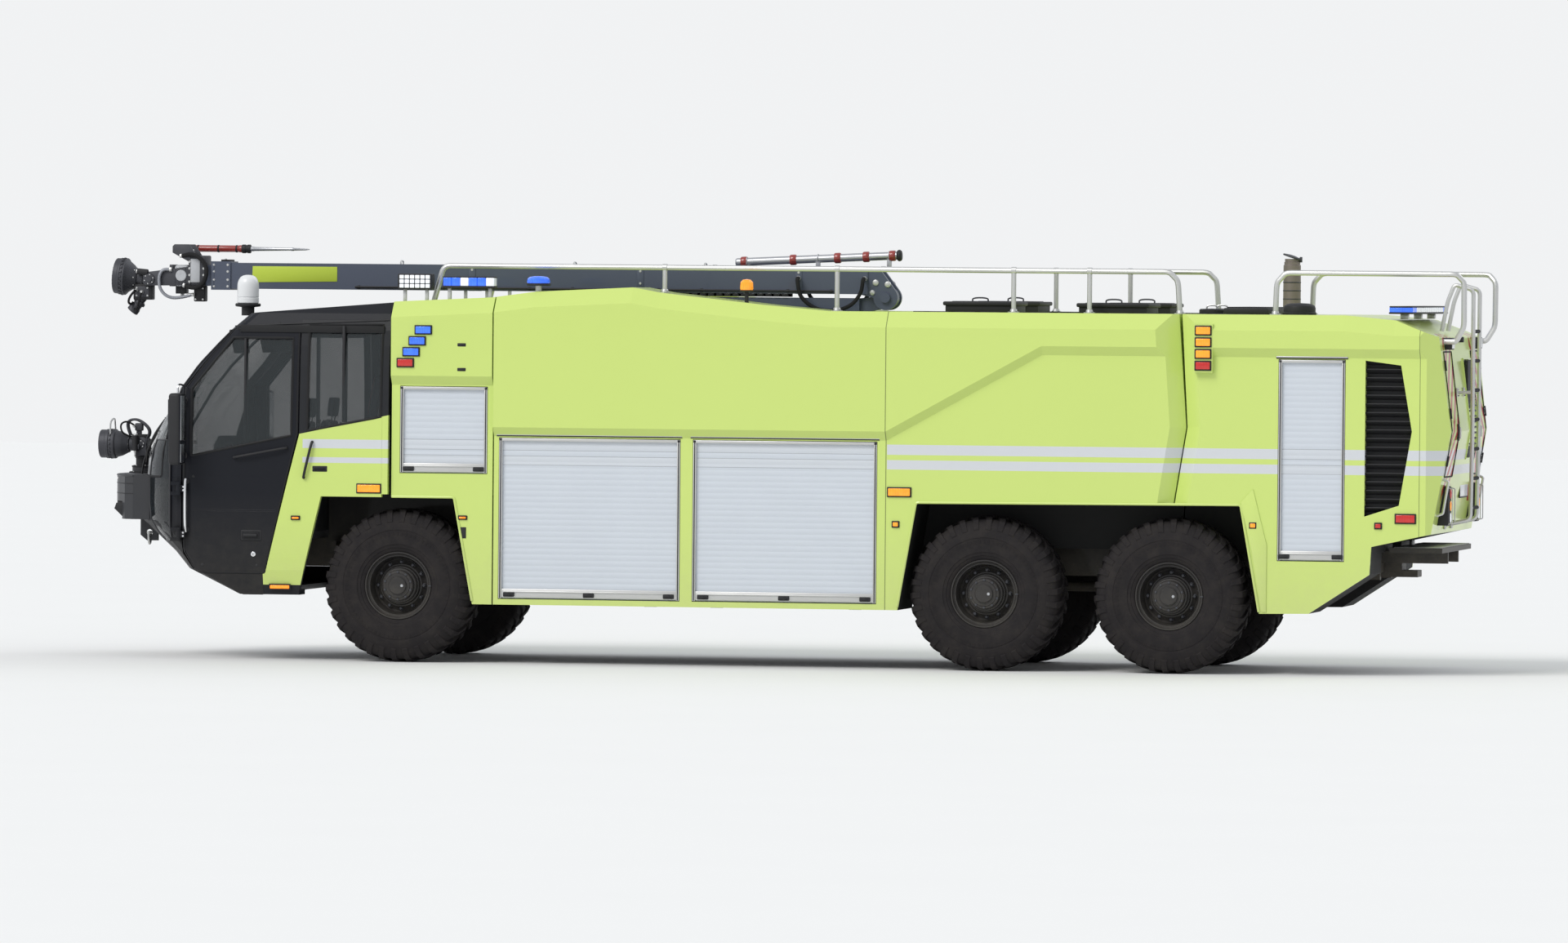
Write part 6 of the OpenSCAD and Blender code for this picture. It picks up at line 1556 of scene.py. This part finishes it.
# screens by their y, width and height
dashSet = {"screens": ((-0.45, 0.3, 0.11), (0, 0.24, 0.15), (0.42, 0.2, 0.13)), "tilt": -12, "switches": 10,
    "wheel": (-1.9, -0.45, 1.74), "wheelTilt": -55, "wheelRadius": 0.215, "vents": (-1.05, -0.85, 0.7, 0.9, 1.1),
    "keys": 6}
tilt = Matrix.Rotation(radians(dashSet["tilt"]), 4, "Y")
form = bmesh.new()  # 0 dark, 1 screen, 2 metal, 3 soft trim, 4 amber
for y, wide, high in dashSet["screens"]:
    left, right = y - wide / 2, y + wide / 2
    boxAt(form, (-2.06, left, 1.7), (-2.03, right, 1.7 + high), 0.008, turn=tilt)
    boxAt(form, (-2.034, left + 0.014, 1.712), (-2.027, right - 0.014, 1.688 + high), 0.003, 1, turn=tilt)
for k in range(dashSet["switches"]):
    y = -0.22 + (k % 5) * 0.05
    boxAt(form, (-2.012, y, 1.625 - (k // 5) * 0.038), (-1.998, y + 0.036, 1.65 - (k // 5) * 0.038), 0.003,
        4 if k in (2, 7) else 0)
wheelTurn = shifted(at(*dashSet["wheel"])) @ Matrix.Rotation(radians(dashSet["wheelTilt"]), 4, "Y")
r = dashSet["wheelRadius"]
addTube(form, [wheelTurn @ Vector((r * cos(a), r * sin(a), 0)) for a in turns(48)], 0.0172, 12, 3, closed=True)
addRound(form, (0, 0, 0), up, [(0, 0.013), (0.058, 0.013), (0.062, 0.019), (0.056, 0.028), (0, 0.031)], 32, 0,
    [wheelTurn])
for side in (-1, 1):
    stalk = ((0.02, side * 0.03, -0.11), (0.03, side * 0.12, -0.095), (0.03, side * 0.185, -0.08))
    addTube(form, [wheelTurn @ Vector(spot) for spot in stalk], 0.008, 10)
for y in dashSet["vents"]:
    addRound(form, at(-2.012, y, 1.628), (1, 0, 0.2), [(0.036, 0), (0.038, 0.006), (0.03, 0.01), (0.028, 0.004),
        (0, 0.004)])
    for k in range(3):
        boxAt(form, (-2.01, y - 0.028, 1.612 + k * 0.013), (-2.001, y + 0.028, 1.616 + k * 0.013), 0.001)
# turret joystick on a console between the front seats
boxAt(form, (-1.76, -0.11, 1.151), (-1.35, 0.11, 1.56), 0.03, segments=3)
addRound(form, at(-1.66, 0, 1.56), up, [(0.044, 0), (0.04, 0.014), (0.022, 0.04), (0.012, 0.05), (0.012, 0.08),
    (0.02, 0.09), (0.022, 0.15), (0.014, 0.168), (0, 0.172)], 24, 3)
for k in range(dashSet["keys"]):
    x, y = -1.56 + (k % 3) * 0.05, -0.06 + (k // 3) * 0.07
    boxAt(form, (x, y, 1.558), (x + 0.03, y + 0.03, 1.57), 0.003, 4 if k == 1 else 2)
screenGlow = lampFinish("screenGlow", (0.03, 0.05, 0.07), (0.06, 0.11, 0.14), 0.4)
piece("dashFittings", form, [darkPlastic, screenGlow, railMetal, softBlack, lensAmber])

# glossy corner panels of the nose, in a rim
form = bmesh.new()
# height and front edge of each row of the panel
panelSet = {"rear": -2.09, "rows": [(1.06, -2.2), (1.15, -2.27), (1.25, -2.32), (1.4, -2.345), (1.6, -2.35),
    (1.75, -2.335), (1.88, -2.305), (1.96, -2.27)]}
rows, rear = panelSet["rows"], panelSet["rear"]
part = bmesh.new()
cells = [[part.verts.new(onSide(left + (rear - left) * k / 8, z, 0.006)) for k in range(9)] for z, left in rows]
for lower, upper in zip(cells, cells[1:]):
    for k in range(8):
        part.faces.new((lower[k], lower[k + 1], upper[k + 1], upper[k]))
bmesh.ops.solidify(part, geom=part.faces[:], thickness=0.006)
pour(form, part, 0)
rim = [(left, z) for z, left in rows] + [(rear, z) for z in (1.96, 1.6, 1.3, 1.06)]
addTube(form, [onSide(x, z, 0.006) for x, z in along(rim + [rim[0]], 0.06)[:-1]], 0.0075, 8, 1, closed=True)
mirrored(form)
panelGloss = paintFinish("cornerPanelGloss", (0.01, 0.015, 0.019), (0.016, 0.022, 0.027), 0.06, 1, 0)
piece("cornerPanels", form, [panelGloss, bumperPaint])
print("cab inside made")

# floor, light and camera

stageSet = {"floorHalf": 120, "floorColour": (0.84, 0.84, 0.83), "floorShade": (0.8, 0.8, 0.79),
    "skyColour": (0.88, 0.91, 0.95), "skyStrength": 0.74, "seenColour": (0.88, 0.89, 0.9)}

floorShape = bmesh.new()
bmesh.ops.create_grid(floorShape, x_segments=2, y_segments=2, size=stageSet["floorHalf"])
floorMesh = bpy.data.meshes.new("floor")
floorShape.to_mesh(floorMesh)
floorShape.free()
floor = bpy.data.objects.new("floor", floorMesh)
scene.collection.objects.link(floor)
f = Finish("paleFloor")
floorMesh.materials.append(f.close(colour=f.mix(f.noise(0.6, 4) * 0.4, stageSet["floorColour"],
    stageSet["floorShade"]), rough=0.85))

world = bpy.data.worlds.new("softSky")
scene.world = world
world.use_nodes = True
web = world.node_tree
sky = web.nodes["Background"]
sky.inputs[0].default_value = (*stageSet["skyColour"], 1)
sky.inputs[1].default_value = stageSet["skyStrength"]
seen = web.nodes.new("ShaderNodeBackground")  # what the camera and reflections see behind the floor
seen.inputs[0].default_value = (*stageSet["seenColour"], 1)
path, either = web.nodes.new("ShaderNodeLightPath"), web.nodes.new("ShaderNodeMath")
blend = web.nodes.new("ShaderNodeMixShader")
either.operation = "MAXIMUM"
web.links.new(path.outputs["Is Camera Ray"], either.inputs[0])
web.links.new(path.outputs["Is Transmission Ray"], either.inputs[1])
web.links.new(either.outputs[0], blend.inputs[0])
web.links.new(sky.outputs[0], blend.inputs[1])
web.links.new(seen.outputs[0], blend.inputs[2])
web.links.new(blend.outputs[0], web.nodes["World Output"].inputs[0])


def sunLamp(name, towards, spread, power, tint):
    data = bpy.data.lights.new(name, "SUN")
    data.angle, data.energy, data.color = radians(spread), power, tint
    lamp = bpy.data.objects.new(name, data)
    lamp.rotation_mode = "QUATERNION"
    lamp.rotation_quaternion = (-Vector(towards)).to_track_quat("-Z", "Y")
    scene.collection.objects.link(lamp)


sunLamp("keySun", (-0.45, -0.72, 0.8), 28, 1.65, (1, 0.985, 0.96))
sunLamp("backSun", (0.6, 0.65, 0.55), 35, 0.45, (0.95, 0.97, 1))

# angles in degrees, frame width and distance in metres
cameraSet = {"azimuth": 10.8, "elevation": 1, "distance": 100, "frameWidth": 14.1, "aim": (0, 0, 1.72), "roll": 0.5,
    "sensor": 36}
cameraData = bpy.data.cameras.new("photoCamera")
camera = bpy.data.objects.new("photoCamera", cameraData)
scene.collection.objects.link(camera)
scene.camera = camera
turn, rise = radians(cameraSet["azimuth"]), radians(cameraSet["elevation"])
back = Vector((sin(turn) * cos(rise), -cos(turn) * cos(rise), sin(rise)))
camera.location = Vector(cameraSet["aim"]) + back * cameraSet["distance"]
camera.rotation_mode = "QUATERNION"
roll = Matrix.Rotation(radians(cameraSet["roll"]), 4, "Z").to_quaternion()
camera.rotation_quaternion = (-back).to_track_quat("-Z", "Y") @ roll
cameraData.sensor_width = cameraSet["sensor"]
cameraData.lens = cameraSet["sensor"] * cameraSet["distance"] / cameraSet["frameWidth"]
cameraData.clip_start, cameraData.clip_end = 1, 400

scene.view_settings.view_transform = "Standard"

bpy.data.meshes.remove(spare)
